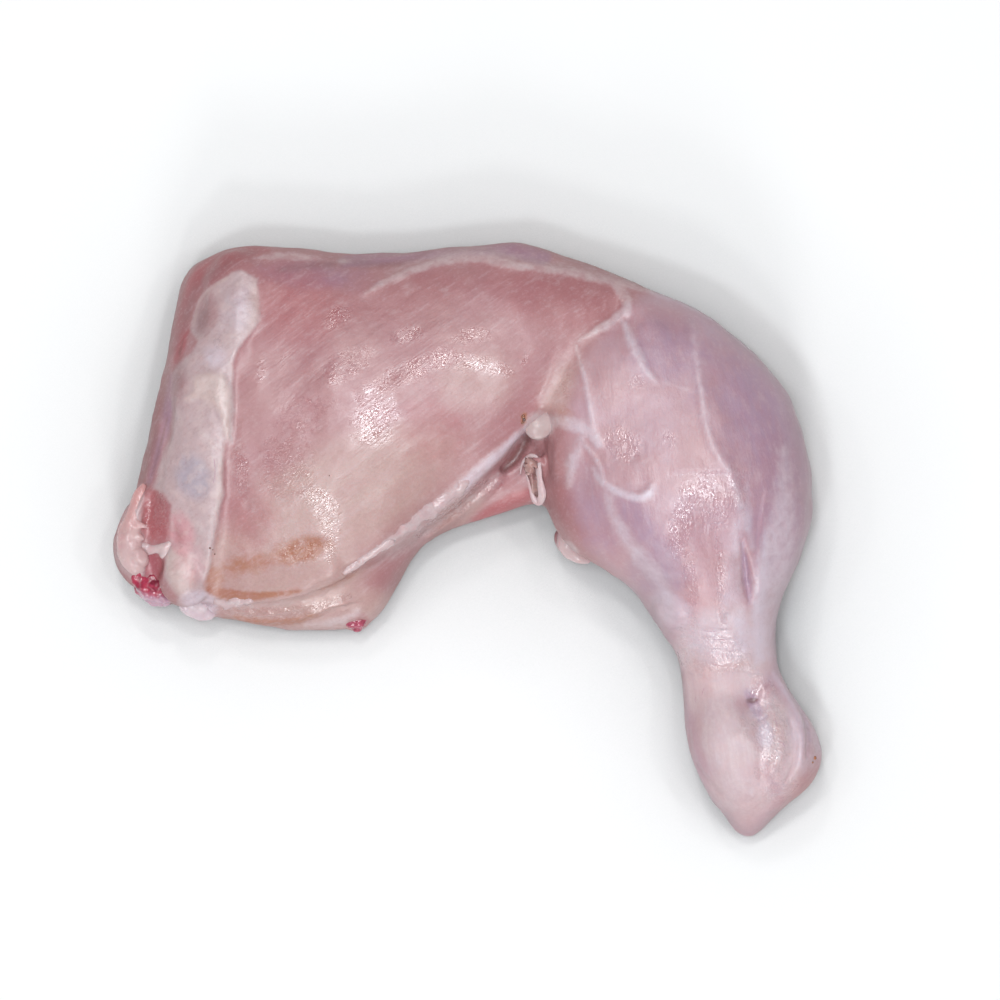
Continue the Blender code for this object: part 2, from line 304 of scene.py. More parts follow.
@dataclass(frozen=True)
class Ledge:
    """The edge of a thin layer: the flesh to the left of the line stands proud of what is right
    of it, most at the line and less with distance."""

    line: tuple
    rise: float
    reach: float
    crisp: float = 0.6

    STEPS_A_KNOT = 16
    FADING_END = 0.15

    def lift(self, plan: np.ndarray) -> np.ndarray:
        """How far the layer stands proud at the plan positions."""
        fine = smooth_curve(self.line, self.STEPS_A_KNOT * len(self.line))
        heading = np.gradient(fine, axis=0)
        apart = plan[:, None, :] - fine[None, :, :]
        nearest = np.argmin((apart**2).sum(axis=2), axis=1)
        apart = apart[np.arange(len(plan)), nearest]
        ahead = heading[nearest]
        left = np.sign(ahead[:, 0] * apart[:, 1] - ahead[:, 1] * apart[:, 0])
        distance = left * np.hypot(apart[:, 0], apart[:, 1])
        along = nearest / (len(fine) - 1)
        ends = ease(along / self.FADING_END) * ease((1 - along) / self.FADING_END)
        side = ease(distance / self.crisp + 0.5)
        return self.rise * ends * side * np.exp(-np.maximum(distance, 0.0) / self.reach)


# What shows where on the flesh

SEAM_ABOVE = (
    (-25.1, 59.7, 0.5),
    (-19.1, 63.0, 0.9),
    (-12.1, 65.9, 1.1),
    (-6.0, 68.0, 1.5),
    (-0.6, 69.0, 1.8),
    (4.5, 68.6, 1.6),
    (10.0, 66.8, 1.2),
    (17.5, 65.9, 1.1),
    (25.0, 64.9, 1.3),
    (33.0, 63.3, 1.4),
    (42.1, 61.2, 1.1),
    (52.0, 57.4, 0.8),
    (60.0, 53.0, 0.5),
)
KNEE_BAND = ((35.4, 63.4, 2.0), (37.4, 60.2, 1.5), (38.6, 57.4, 1.3), (38.4, 55.0, 1.2))
KNEE_BRANCH = ((38.0, 55.4, 1.1), (34.3, 52.4, 1.1), (31.1, 50.6, 0.9), (26.6, 47.9, 0.3))
KNEE_LINE = (
    (26.2, 47.0, 0.3),
    (27.2, 42.7, 0.6),
    (28.3, 38.5, 0.7),
    (29.2, 32.8, 0.8),
    (30.2, 27.5, 1.0),
)
KNEE_FAINT = ((25.6, 47.2, 0.3), (21.4, 40.3, 0.8), (18.6, 34.6, 0.7), (17.6, 31.0, 0.7))
SHIN_BAND = (
    (37.4, 53.4, 0.7),
    (38.9, 49.6, 1.2),
    (40.7, 45.4, 1.4),
    (43.2, 40.7, 1.0),
    (45.6, 38.2, 0.5),
)
SHIN_LINE = ((44.8, 38.7, 0.4), (49.8, 37.2, 0.4), (55.7, 35.4, 0.3))
KNOB_BAND = (
    (18.0, 28.0, 2.0),
    (21.5, 28.5, 1.4),
    (25.2, 27.6, 1.5),
    (29.2, 26.0, 1.7),
    (31.6, 22.8, 1.0),
)
CALF_FASCIA = ((27.6, 24.5, 0.8), (26.0, 20.6, 1.4), (24.8, 16.8, 1.2), (24.4, 13.0, 0.6))
FLAP_LINE = ((28.4, 22.6, 0.4), (30.8, 19.3, 0.5), (32.2, 16.3, 0.5), (33.0, 13.4, 0.6))
CALF_SEAM = (
    (33.6, 11.6, 0.9),
    (35.2, 5.2, 1.4),
    (38.9, -0.8, 1.7),
    (43.0, -5.9, 1.8),
    (46.8, -10.6, 1.5),
    (49.0, -15.0, 1.0),
)
TENDON = (
    (54.6, 52.0, 0.4),
    (55.4, 44.0, 0.9),
    (56.4, 35.0, 1.1),
    (57.6, 27.0, 1.0),
    (59.4, 21.9, 0.9),
    (61.9, 18.2, 0.9),
    (64.3, 13.8, 1.1),
    (65.8, 8.4, 1.2),
    (66.6, 3.6, 1.4),
)
SEAM_BELOW = (
    (-21.5, -2.2, 0.7),
    (-15.9, 1.6, 1.1),
    (-11.6, 5.0, 1.4),
    (-6.4, 8.6, 1.5),
    (-1.6, 12.3, 1.6),
    (3.0, 16.6, 1.6),
    (7.2, 20.3, 1.3),
    (11.0, 23.9, 1.0),
    (14.0, 26.8, 0.8),
)
SEAM_ROD = ((-30.0, -8.2, 0.7), (-25.6, -5.3, 0.85), (-21.8, -2.6, 0.85), (-18.7, -0.9, 0.8))
CALF_FLAP = (
    (30.2, 17.0, 0.5),
    (32.2, 13.8, 0.9),
    (35.0, 11.9, 1.1),
    (38.2, 10.6, 0.8),
    (41.4, 10.0, 1.1),
    (43.6, 10.8, 1.2),
    (44.4, 12.8, 0.6),
)
SLIT = ((66.3, -0.6, 0.3), (66.9, -5.7, 0.8), (67.7, -10.7, 0.85), (68.5, -15.4, 0.3))
HOLLOW = ((9.0, 17.0, 0.8), (11.4, 19.6, 1.3), (13.4, 22.6, 1.1), (14.9, 25.6, 0.6))
HOCK_GROOVE = (
    (77.0, -35.0, 0.3),
    (79.6, -38.6, 0.4),
    (81.2, -41.4, 0.5),
    (82.4, -44.9, 0.6),
    (83.2, -48.6, 0.6),
    (83.0, -53.0, 0.3),
)
HOCK_BAND = (
    (74.6, -33.0, 0.5),
    (77.6, -38.0, 0.9),
    (80.2, -43.0, 1.1),
    (81.4, -48.4, 1.1),
    (80.8, -55.0, 0.9),
)
HOCK_RIDGE = ((73.8, -41.4, 0.6), (76.2, -46.0, 1.3), (76.6, -51.0, 1.2), (74.6, -56.0, 0.7))
HOCK_STRIPE = ((78.0, -43.6, 0.3), (79.6, -48.6, 0.5), (79.2, -55.4, 0.5), (77.2, -59.4, 0.3))
HOCK_LINE = ((54.0, -47.0, 0.3), (54.8, -52.6, 0.4), (57.4, -57.8, 0.5), (61.4, -62.2, 0.3))
HOCK_PIT = ((68.0, -37.6, 0.7), (69.2, -39.6, 1.2), (70.4, -42.0, 1.0), (71.0, -43.6, 0.5))
HOCK_CREASE = ((70.2, -44.6, 0.15), (71.6, -44.0, 0.3), (73.0, -43.2, 0.15))
EDGE_FRINGE = (
    (53.0, 58.4, 0.3),
    (57.0, 56.4, 0.6),
    (62.0, 53.0, 0.7),
    (67.6, 48.8, 0.6),
    (72.6, 44.0, 0.6),
    (76.2, 39.0, 0.3),
)
LOWER_FOLD = ((-64.0, -14.4), (-55.1, -15.3), (-45.1, -14.2), (-37.1, -12.0), (-29.0, -8.8))
FLAP_FOLD = (
    (-60.3, -19.0),
    (-53.3, -20.0),
    (-46.3, -20.4),
    (-40.3, -19.4),
    (-33.3, -16.8),
    (-25.3, -15.0),
)
# The strip of fat across the hip end, from its top round its right side
FAT_STRIP = (
    (-55.4, 65.5), (-51.4, 63.2), (-51.1, 58.7), (-50.5, 53.3), (-52.9, 49.8), (-55.9, 46.3),
    (-57.2, 42.9), (-57.1, 37.4), (-56.8, 30.4), (-57.4, 23.0), (-59.1, 25.0), (-59.6, 20.5),
    (-59.8, 14.0), (-59.3, 10.6), (-60.3, 8.1), (-61.1, 3.6), (-62.1, -2.3), (-63.3, -8.3),
    (-64.8, -11.3), (-63.8, -14.3), (-62.8, -19.7), (-68.3, -21.2), (-71.8, -17.7), (-70.8, -14.3),
    (-72.2, -12.3), (-74.7, -8.3), (-73.5, -3.3), (-72.5, 0.1), (-72.7, 5.1), (-72.2, 8.1),
    (-74.7, 11.1), (-77.0, 12.1), (-74.7, 20.5), (-72.2, 25.5), (-72.2, 30.4), (-72.5, 32.9),
    (-72.7, 35.9), (-72.2, 40.4), (-69.8, 43.4), (-67.3, 45.3), (-66.0, 48.1), (-67.8, 50.8),
    (-67.5, 54.3), (-64.8, 58.7), (-61.3, 62.2), (-57.8, 65.0),
)  # fmt: skip

# The raised curd with its spike, and the plump fat at the strip's lower end
FAT_CURD = (
    (-69.6, 33.4), (-67.0, 36.0), (-66.9, 39.4), (-63.0, 40.4), (-59.4, 39.8), (-57.7, 36.0),
    (-57.9, 29.0), (-58.0, 22.6), (-59.2, 25.4), (-60.4, 30.4), (-62.3, 32.8), (-65.3, 34.0),
)  # fmt: skip
FAT_CUSHION = (
    (-74.4, -4.4), (-74.0, -8.0), (-72.8, -12.0), (-70.2, -14.6), (-67.0, -13.6), (-66.4, -8.4),
    (-67.4, -4.0), (-69.4, -1.8), (-72.0, -2.0),
)  # fmt: skip
FAT_SELVAGE = (
    (-58.4, 26.0, 0.4),
    (-59.8, 20.0, 0.6),
    (-60.4, 15.0, 0.9),
    (-60.4, 11.0, 1.0),
    (-61.4, 6.0, 0.4),
)

ZONES = {
    Zone.FASCIA: (
        Stroke(SEAM_ABOVE, 1.7, 0.75),
        Stroke(
            (
                (-20.0, 65.0, 0.4),
                (-8.0, 69.0, 1.4),
                (2.0, 70.4, 1.6),
                (14.0, 67.6, 1.2),
                (30.0, 65.4, 1.2),
            ),
            3.6,
            0.5,
        ),
        Stroke(KNEE_BAND, 1.8, 0.8),
        Stroke(KNEE_BRANCH, 1.6, 0.8),
        Stroke(KNEE_LINE, 1.8, 0.7),
        Stroke(KNEE_FAINT, 3.0, 0.34),
        Stroke(SHIN_BAND, 2.6, 0.75),
        Stroke(SHIN_LINE, 2.0, 0.5),
        Stroke(KNOB_BAND, 3.0, 0.85),
        Stroke(CALF_FASCIA, 4.0, 0.85),
        Stroke(FLAP_LINE, 1.8, 0.75),
        Stroke(CALF_SEAM, 4.4, 0.75),
        Stroke(TENDON, 3.0, 0.62),
        Stroke(EDGE_FRINGE, 1.6, 1.3),
        Stroke(SEAM_BELOW, 3.0, 0.85),
        Stroke(CALF_FLAP, 2.2, 0.86),
        # The pale tendon sheet down the shin, on both sides of its slit
        Stroke(
            (
                (76.5, 22.0, 0.4),
                (76.4, 8.0, 2.6),
                (75.0, -4.0, 4.2),
                (73.6, -14.0, 4.4),
                (72.4, -26.0, 3.4),
            ),
            7.0,
            1.0,
        ),
        Stroke(((73.4, 2.0, 0.8), (72.6, -9.0, 2.4), (72.0, -19.0, 2.8), (72.0, -28.0, 2.0)), 3.6, 1.2),
        Stroke(((64.4, 4.0, 0.5), (65.6, -8.0, 1.2), (65.8, -17.0, 1.6), (66.5, -27.0, 1.6)), 4.0, 0.7),
        # Pale films on the thigh's front edge and on the hip
        Stroke(
            ((-52.5, 68.4, 0.3), (-46.0, 69.0, 1.0), (-40.0, 68.7, 0.9), (-36.5, 68.4, 0.3)), 1.6, 0.8
        ),
        Patch((-30.5, 67.6), (1.8, 0.8), 0.0, 1.4, 0.75),
        Patch((-13.0, 1.0), (9.0, 3.4), 38.0, 5.0, 0.6),
        Patch((2.0, 11.0), (9.0, 2.4), 40.0, 3.0, 0.5),
        Patch((-42.0, 3.0), (13.0, 8.0), 30.0, 9.0, 0.24),
        Patch((-28.0, 40.0), (16.0, 10.0), 34.0, 12.0, 0.15),
        Patch((42.0, 38.0), (12.0, 9.0), -10.0, 9.0, 0.12),
        Patch((40.0, 22.0), (7.0, 8.0), 0.0, 6.0, 0.2),
        Stroke(((-60.0, -16.0, 0.9), (-52.0, -16.4, 0.8), (-43.0, -15.6, 0.5)), 2.4, 0.55),
        Stroke(((-40.0, -21.4, 0.6), (-32.0, -20.4, 1.2), (-27.0, -18.0, 1.0)), 2.4, 0.75),
        Patch((-73.8, 40.0), (2.0, 6.0), -4.0, 3.0, 0.4),
    ),
    Zone.PURPLE: (
        Stroke(
            (
                (-30.0, 67.6, 1.4),
                (-10.0, 70.2, 1.8),
                (1.0, 71.8, 2.4),
                (9.0, 71.6, 2.8),
                (18.0, 68.8, 2.0),
            ),
            3.4,
            1.3,
        ),
        Patch((74.0, 32.0), (15.0, 28.0), 12.0, 18.0, 0.72),
        Patch((76.0, 2.0), (9.0, 20.0), 8.0, 9.0, 0.7),
        Patch((41.5, 3.6), (4.2, 9.0), 32.0, 6.0, 0.7),
        Patch((31.0, 4.0), (5.5, 10.0), 28.0, 8.0, 0.5),
        Patch((46.0, -8.0), (7.0, 8.0), 30.0, 8.0, 0.6),
        Patch((48.0, 46.0), (9.0, 9.0), 0.0, 9.0, 0.6),
        Stroke(((-72.0, 39.0, 1.2), (-74.0, 29.0, 1.6), (-76.4, 21.0, 1.4), (-78.2, 14.0, 0.8)), 2.6),
        Patch((-38.0, 64.0), (14.0, 4.0), -4.0, 6.0, 0.6),
        Patch((-58.6, 56.0), (2.4, 8.0), -12.0, 4.0, 0.5),
        Stroke(((80.0, -38.4, 0.2), (82.6, -44.6, 0.5), (83.4, -49.4, 0.4)), 1.6, 0.8),
        Stroke(HOCK_PIT, 2.6, 1.2),
        Stroke(HOCK_CREASE, 1.2, 0.9),
        Stroke(SLIT, 1.6, 0.95),
        Patch((-78.0, -6.6), (3.0, 3.6), 20.0, 2.4, 0.6),
        Patch((60.0, 44.0), (16.0, 12.0), -30.0, 14.0, 0.5),
    ),
    Zone.RED: (
        # The darker muscle along the thigh's front, at the hip's corner and in the knee's hollow
        Patch((22.0, 58.0), (19.0, 7.5), -14.0, 9.0, 0.9),
        Patch((-14.0, 59.0), (18.0, 6.0), 14.0, 8.0, 0.55),
        Patch((-62.0, 67.0), (11.0, 5.0), 20.0, 6.0, 0.9),
        Patch((-43.0, 56.0), (14.0, 10.0), -10.0, 11.0, 0.95),
        Stroke(((24.5, 47.0, 0.5), (19.5, 39.0, 1.2), (15.5, 31.5, 1.2)), 6.0, 0.8),
        Patch((9.0, 12.5), (9.0, 4.5), 35.0, 4.0, 0.4),
        Stroke(((3.0, 5.2, 1.0), (7.5, 8.0, 1.8), (13.5, 10.8, 1.6)), 3.6, 1.0),
        Patch((-76.6, 5.4), (4.4, 7.4), 12.0, 2.0, 0.95),
        Patch((-77.0, -6.6), (3.4, 4.2), 20.0, 1.8, 1.0),
        Stroke(((-68.4, 50.6, 0.5), (-70.4, 46.4, 1.2), (-71.4, 43.2, 0.7)), 1.8, 1.0),
        Stroke(((-75.5, 34.0, 1.0), (-78.0, 22.0, 1.6), (-80.5, 13.0, 1.6)), 2.6, 0.95),
        Stroke(HOCK_STRIPE, 2.0, 0.9),
        Patch((57.0, -30.0), (6.0, 8.0), 0.0, 8.0, 0.25),
        Patch((85.0, 18.0), (2.6, 24.0), 4.0, 4.0, 0.5),
        Patch((24.0, 8.0), (4.0, 14.0), 8.0, 6.0, 0.28),
        Patch((48.0, 54.0), (9.0, 4.0), -24.0, 5.0, 0.35),
        Patch((41.0, -3.0), (4.0, 9.0), 34.0, 5.0, 0.3),
        Patch((56.0, -6.0), (5.0, 14.0), 20.0, 8.0, 0.35),
        Patch((-27.0, -21.0), (3.0, 3.0), 0.0, 2.0, 1.0),
    ),
    Zone.TAN: (
        Patch((-30.0, 9.0), (30.0, 14.0), 28.0, 15.0, 0.9),
        Patch((-46.0, -8.0), (22.0, 14.0), 6.0, 12.0, 1.0),
        Patch((2.0, 38.0), (10.0, 9.0), 20.0, 10.0, 0.5),
        Patch((-40.0, -17.0), (26.0, 7.0), 0.0, 6.0, 0.9),
        Patch((22.0, 36.0), (5.0, 9.0), -20.0, 7.0, 0.7),
        Patch((-3.0, 5.6), (9.0, 3.4), 38.0, 4.0, 0.8),
    ),
    Zone.ORANGE: (
        Patch((-41.0, -2.8), (7.0, 2.9), 14.0, 4.0, 1.0),
        Patch((-53.0, -6.0), (9.0, 2.2), 12.0, 4.6, 0.75),
        Patch((-62.0, -9.6), (2.4, 3.6), 0.0, 3.0, 0.7),
        Stroke(
            ((-63.0, -12.6, 1.2), (-57.0, -13.9, 1.2), (-50.0, -13.9, 0.8), (-41.0, -12.8, 0.3)), 1.9, 1.1
        ),
        Stroke(
            ((-60.3, -19.4, 0.5), (-52.0, -20.4, 0.9), (-44.0, -20.5, 0.8), (-37.0, -18.6, 0.4)), 2.6, 0.9
        ),
        Stroke(((-36.0, -12.4, 0.3), (-31.0, -10.4, 0.6), (-27.0, -8.0, 0.3)), 1.8, 0.6),
        Patch((13.6, 29.2), (0.8, 1.5), -10.0, 1.2, 1.0),
        Patch((23.6, 31.0), (2.4, 3.0), 0.0, 4.0, 0.35),
        Patch((75.6, -47.6), (1.6, 4.2), 10.0, 2.4, 0.3),
        Patch((66.5, -31.5), (0.8, 2.0), 0.0, 2.0, 0.45),
    ),
    Zone.DARK: (
        # Painted shade in the knee's hollow, the shin's slit, small pits on the shin and hock, the hip's
        # crevices, the flap's folds and the hock's groove
        Stroke(HOLLOW, 2.6, 1.05),
        Stroke(((66.9, -2.6, 0.1), (67.7, -7.7, 0.3), (68.4, -13.0, 0.1)), 1.0, 0.55),
        Patch((69.3, -39.5), (1.5, 0.6), 4.0, 1.0, 1.0),
        Stroke(((68.0, -37.4, 0.2), (70.4, -42.6, 0.4)), 1.8, 0.4),
        Patch((62.9, -19.2), (0.4, 0.8), 0.0, 0.9, 0.4),
        Stroke(((-70.0, 47.6, 0.2), (-70.6, 45.2, 0.4)), 0.9, 0.7),
        Stroke(((-79.2, 8.0, 0.2), (-79.6, 4.4, 0.3)), 0.9, 0.6),
        Stroke(
            ((-73.4, 30.0, 0.2), (-75.2, 23.0, 0.5), (-76.8, 17.0, 0.4), (-78.4, 12.6, 0.2)), 1.4, 0.6
        ),
        Stroke(((-69.4, 49.0, 0.1), (-70.2, 46.6, 0.4), (-70.4, 44.2, 0.2)), 1.0, 0.7),
        Stroke(((-64.0, -15.6, 0.1), (-55.0, -16.6, 0.25), (-45.0, -15.4, 0.1)), 0.9, 0.3),
        Stroke(
            ((-46.3, -21.4, 0.1), (-40.3, -20.5, 0.25), (-33.3, -17.8, 0.2), (-28.0, -16.0, 0.1)),
            0.9,
            0.5,
        ),
        Stroke(HOCK_GROOVE, 1.6, 0.4),
    ),
    Zone.CREAM: (
        Patch((63.4, -50.0), (6.4, 13.0), 20.0, 5.0, 1.0),
        Patch((66.0, -62.0), (9.0, 9.0), 0.0, 8.0, 0.8),
        Patch((62.0, -28.0), (12.0, 12.0), 0.0, 10.0, 0.9),
        Patch((69.0, -52.0), (9.0, 12.0), 0.0, 7.0, 0.6),
        Patch((72.2, -47.2), (2.2, 2.6), 0.0, 3.0, 0.7),
        Patch((47.0, -17.0), (4.0, 5.0), 30.0, 5.0, 0.6),
        Patch((76.0, -50.0), (5.0, 12.0), 10.0, 4.0, 0.9),
        Patch((59.0, -36.0), (7.0, 9.0), 0.0, 6.0, 0.95),
        Outline(FAT_CURD, 2.4, 1.0),
        Outline(FAT_CUSHION, 3.0, 0.9),
        Stroke(FAT_SELVAGE, 1.6, 0.55),
        Patch((-52.6, 57.0), (2.4, 5.6), -6.0, 3.0, 0.7),
        Stroke(
            ((-66.8, 53.0, 0.2), (-65.8, 57.8, 0.4), (-62.8, 61.2, 0.5), (-59.0, 63.4, 0.4)), 1.0, 0.95
        ),
    ),
    Zone.CALF: (
        Patch((62.0, 20.0), (38.0, 44.0), 12.0, 14.0, 1.0),
        Patch((60.0, -30.0), (24.0, 50.0), 0.0, 14.0, 1.0),
    ),
    Zone.WET: (
        # Where the lamps glint in the film of moisture
        Patch((-22.8, 29.4), (5.6, 7.0), -24.0, 5.0, 1.0),
        Stroke(
            (
                (-26.0, 34.4, 2.0),
                (-17.5, 39.2, 2.6),
                (-7.6, 43.2, 2.6),
                (0.0, 43.0, 2.2),
                (9.6, 40.8, 1.6),
            ),
            4.0,
            0.8,
        ),
        Patch((-15.0, 49.4), (4.0, 2.0), 14.0, 2.6, 0.95),
        Patch((1.0, 49.2), (5.0, 2.0), 8.0, 2.6, 0.9),
        Patch((-31.6, 54.0), (3.8, 2.2), 36.0, 2.8, 0.85),
        Patch((-50.4, 40.6), (1.4, 3.2), -4.0, 2.0, 0.8),
        Patch((-44.0, 44.0), (3.0, 1.2), 30.0, 3.0, 0.5),
        Stroke(((-39.0, 12.0, 2.4), (-34.6, 7.0, 3.2), (-33.4, 0.0, 2.0), (-34.0, -4.6, 1.2)), 3.6, 1.0),
        Patch((-55.2, 16.6), (1.8, 6.2), 4.0, 2.6, 0.95),
        Patch((-44.0, 18.0), (8.0, 9.0), 20.0, 7.0, 0.62),
        Patch((-40.0, 30.0), (9.0, 6.0), 34.0, 6.0, 0.55),
        Patch((-30.0, 42.0), (8.0, 3.6), 30.0, 4.0, 0.66),
        Patch((-40.0, -3.0), (7.0, 3.4), 12.0, 3.0, 0.6),
        Stroke(
            ((-62.0, -16.8, 1.2), (-50.0, -18.4, 1.6), (-38.0, -17.0, 1.4), (-29.0, -14.0, 1.0)), 3.0, 0.8
        ),
        Stroke(((-12.0, 1.0, 1.0), (-4.0, 6.4, 1.6), (1.4, 11.4, 1.8), (7.0, 13.4, 1.4)), 2.6, 0.9),
        Patch((37.2, 22.6), (3.6, 4.8), 42.0, 2.8, 0.95),
        Patch((40.8, 38.2), (2.0, 1.8), 0.0, 2.0, 0.9),
        Patch((48.6, 24.2), (1.6, 2.4), 20.0, 1.8, 0.8),
        Patch((24.0, 37.0), (1.4, 3.4), 0.0, 2.2, 0.7),
        Patch((13.6, 43.2), (0.8, 1.8), -24.0, 1.6, 0.8),
        Stroke(((48.6, 15.4, 0.3), (56.0, 15.6, 0.5), (64.0, 16.2, 0.5), (69.0, 16.0, 0.3)), 2.0, 0.9),
        Patch((64.6, 11.4), (2.8, 6.0), 0.0, 3.4, 1.0),
        Patch((58.6, 9.6), (4.4, 7.6), 8.0, 4.0, 0.86),
        Patch((51.6, 4.6), (3.0, 10.4), -12.0, 3.6, 1.0),
        Stroke(((53.0, -4.0, 1.6), (54.0, -12.0, 1.6), (54.6, -20.0, 1.0), (54.0, -27.0, 1.4)), 3.0, 0.8),
        Stroke(((60.4, 0.0, 1.0), (61.2, -8.0, 1.0), (61.0, -16.0, 0.8), (62.4, -24.0, 1.2)), 2.6, 0.75),
        Patch((60.0, -28.0), (10.0, 5.4), 0.0, 4.0, 0.8),
        Patch((71.6, -37.4), (3.4, 3.0), 0.0, 3.0, 0.9),
        Patch((73.6, -48.0), (4.4, 11.0), 6.0, 4.0, 0.82),
        Patch((67.0, -46.0), (1.4, 5.0), 20.0, 2.4, 0.6),
        Stroke(HOCK_RIDGE, 2.0, 0.7),
        Stroke(((67.0, -31.0, 1.6), (72.0, -35.0, 1.6), (76.0, -40.0, 1.2)), 2.4, 0.8),
        Stroke(((52.0, -22.0, 1.2), (53.6, -28.0, 1.2)), 2.4, 0.7),
        Patch((70.6, -57.0), (1.4, 1.8), 0.0, 1.6, 0.9),
        Patch((76.6, -61.0), (4.2, 2.2), 28.0, 2.0, 1.0),
        Patch((-76.0, 6.0), (3.0, 5.0), 0.0, 2.0, 0.9),
        Patch((-60.8, 47.4), (1.4, 2.0), 0.0, 1.6, 0.6),
        Patch((-59.4, 30.0), (1.6, 6.0), 0.0, 2.4, 0.25),
    ),
    Zone.FAT: (
        Outline(FAT_STRIP, 2.0, 1.0),
        Stroke(
            (
                (-80.2, 12.4, 1.0),
                (-82.0, 7.0, 2.6),
                (-83.8, 1.0, 3.4),
                (-83.4, -4.0, 3.6),
                (-81.4, -7.6, 2.6),
            ),
            1.4,
            0.9,
        ),
        Stroke(((-80.0, -2.2, 0.6), (-76.0, -2.4, 0.5), (-72.0, -2.2, 1.0)), 1.0, 0.8),
        Patch((23.8, -3.2), (3.2, 2.6), -35.0, 1.6, 0.9),
        Stroke(((-70.0, -16.6, 1.2), (-66.6, -18.0, 1.6), (-62.6, -19.0, 1.0)), 1.4, 0.9),
        Patch((17.2, 27.4), (3.6, 3.4), 0.0, 2.0, 0.8),
    ),
    Zone.BLUE: (
        Patch((-67.0, 15.0), (4.0, 5.4), 20.0, 5.0, 1.0),
        Patch((-70.6, 32.0), (1.4, 5.0), -6.0, 3.0, 0.3),
        Stroke(((75.0, 4.0, 0.6), (74.0, -10.0, 2.0), (73.0, -22.0, 1.6)), 5.0, 0.5),
        Patch((72.0, -47.5), (1.6, 3.0), 0.0, 3.0, 0.5),
    ),
    Zone.MAUVE: (
        # Brown-mauve flesh, mostly painted shade: round the hip's corner, along the thigh's front and on
        # edges of the knee, the shin and the hock; partly the flesh's own tone where it shows through fat
        Stroke(
            (
                (-72.0, 46.0, 1.0),
                (-69.6, 54.0, 2.2),
                (-66.4, 60.6, 2.4),
                (-60.0, 67.0, 2.4),
                (-51.0, 70.6, 1.2),
            ),
            6.0,
            0.62,
        ),
        Stroke(
            (
                (-46.0, 65.6, 0.8),
                (-36.0, 66.8, 1.2),
                (-27.0, 67.2, 1.4),
                (-17.0, 67.2, 1.2),
                (-9.0, 70.6, 0.8),
            ),
            4.0,
            0.68,
        ),
        Stroke(
            ((-73.2, 42.0, 0.8), (-75.0, 34.0, 1.8), (-77.4, 25.0, 1.8), (-79.6, 15.0, 1.2)), 4.0, 0.66
        ),
        Patch((-64.6, 54.6), (2.6, 6.4), -14.0, 6.0, 0.66),
        Patch((-70.8, 38.6), (2.0, 5.6), -6.0, 4.0, 0.68),
        Patch((-52.4, 5.0), (5.0, 7.0), 0.0, 9.0, 0.42),
        Patch((48.0, 54.6), (9.0, 4.4), -24.0, 5.0, 0.3),
        Stroke(((-75.6, 30.0, 0.5), (-77.0, 24.0, 0.9), (-79.2, 16.0, 0.6)), 2.4, 0.86),
        Patch((-64.8, 53.6), (1.8, 4.6), -14.0, 3.4, 0.85),
        Stroke(((53.0, 56.4, 0.2), (61.0, 51.6, 0.5), (67.0, 46.8, 0.5), (72.0, 41.6, 0.3)), 2.4, 0.55),
        Patch((80.0, 16.0), (3.0, 26.0), 4.0, 8.0, 0.42),
        Stroke(HOCK_LINE, 1.6, 0.42),
        Stroke(((62.0, -66.4, 0.4), (66.4, -71.4, 0.8), (69.4, -72.8, 0.5)), 2.6, 0.4),
    ),
    Zone.MILK: (
        # Bluish white sheets of tendon on the shin and the hock, and fat at the hip's lower corner
        Stroke(
            (
                (65.4, 8.0, 0.8),
                (65.0, 2.0, 1.6),
                (63.6, -8.0, 2.0),
                (62.8, -17.0, 2.2),
                (62.0, -26.0, 1.4),
            ),
            5.0,
            0.55,
        ),
        Stroke(((72.0, 2.0, 0.5), (71.4, -9.0, 1.6), (70.6, -20.0, 2.4), (70.8, -30.0, 1.6)), 4.0, 0.7),
        Stroke(((67.2, 13.0, 0.6), (67.6, 4.0, 1.2), (68.6, -2.0, 0.8)), 3.0, 0.6),
        Patch((51.0, -18.0), (3.6, 5.4), 30.0, 4.0, 0.6),
        Patch((72.2, -47.4), (2.0, 4.4), 0.0, 3.0, 0.95),
        Stroke(HOCK_BAND, 4.4, 0.95),
        Patch((85.4, -47.0), (2.4, 8.0), 6.0, 4.0, 0.85),
        Patch((-65.6, -15.6), (4.6, 3.0), -20.0, 2.4, 0.95),
        Patch((-55.0, 56.0), (2.6, 6.0), -8.0, 4.0, 0.6),
        Patch((-61.6, 44.4), (3.4, 3.0), -30.0, 4.0, 0.6),
        Stroke(EDGE_FRINGE, 1.6, 0.8),
        Patch((46.0, -6.0), (6.0, 10.0), 36.0, 6.0, 0.35),
        Patch((61.0, -50.0), (2.6, 8.0), 16.0, 4.0, 0.3),
        Patch((70.0, -46.0), (14.0, 20.0), 0.0, 8.0, 0.34),
        Patch((81.6, -46.0), (4.6, 12.0), 6.0, 4.0, 0.6),
        Patch((48.8, -17.0), (3.8, 6.0), 30.0, 4.0, 0.65),
        Patch((62.0, -24.0), (11.0, 7.0), 0.0, 7.0, 0.62),
        Patch((70.0, -42.4), (2.4, 2.0), 0.0, 2.4, 0.6),
        Patch((60.0, -26.0), (9.0, 5.0), 0.0, 8.0, 0.5),
        Stroke(((35.0, 12.0, 0.5), (38.4, 10.4, 0.8), (41.8, 9.9, 0.8), (44.0, 11.2, 0.5)), 2.4, 0.9),
        Stroke(KNEE_FAINT, 3.0, 0.25),
        Stroke(SEAM_BELOW[4:], 2.4, 0.7),
        Stroke(CALF_SEAM, 3.6, 0.32),
    ),
    Zone.BLUSH: (
        Stroke(((1.6, 4.2, 0.6), (6.4, 6.4, 1.6), (10.6, 8.6, 2.0), (14.6, 10.6, 1.2)), 3.6, 1.25),
        Patch((-76.8, 5.2), (3.6, 6.6), 12.0, 2.2, 0.56),
        Patch((-77.0, -6.8), (2.8, 3.4), 20.0, 1.8, 0.66),
        Stroke(((-68.6, 50.6, 0.4), (-70.6, 46.4, 1.0), (-71.6, 43.0, 0.6)), 2.2, 0.85),
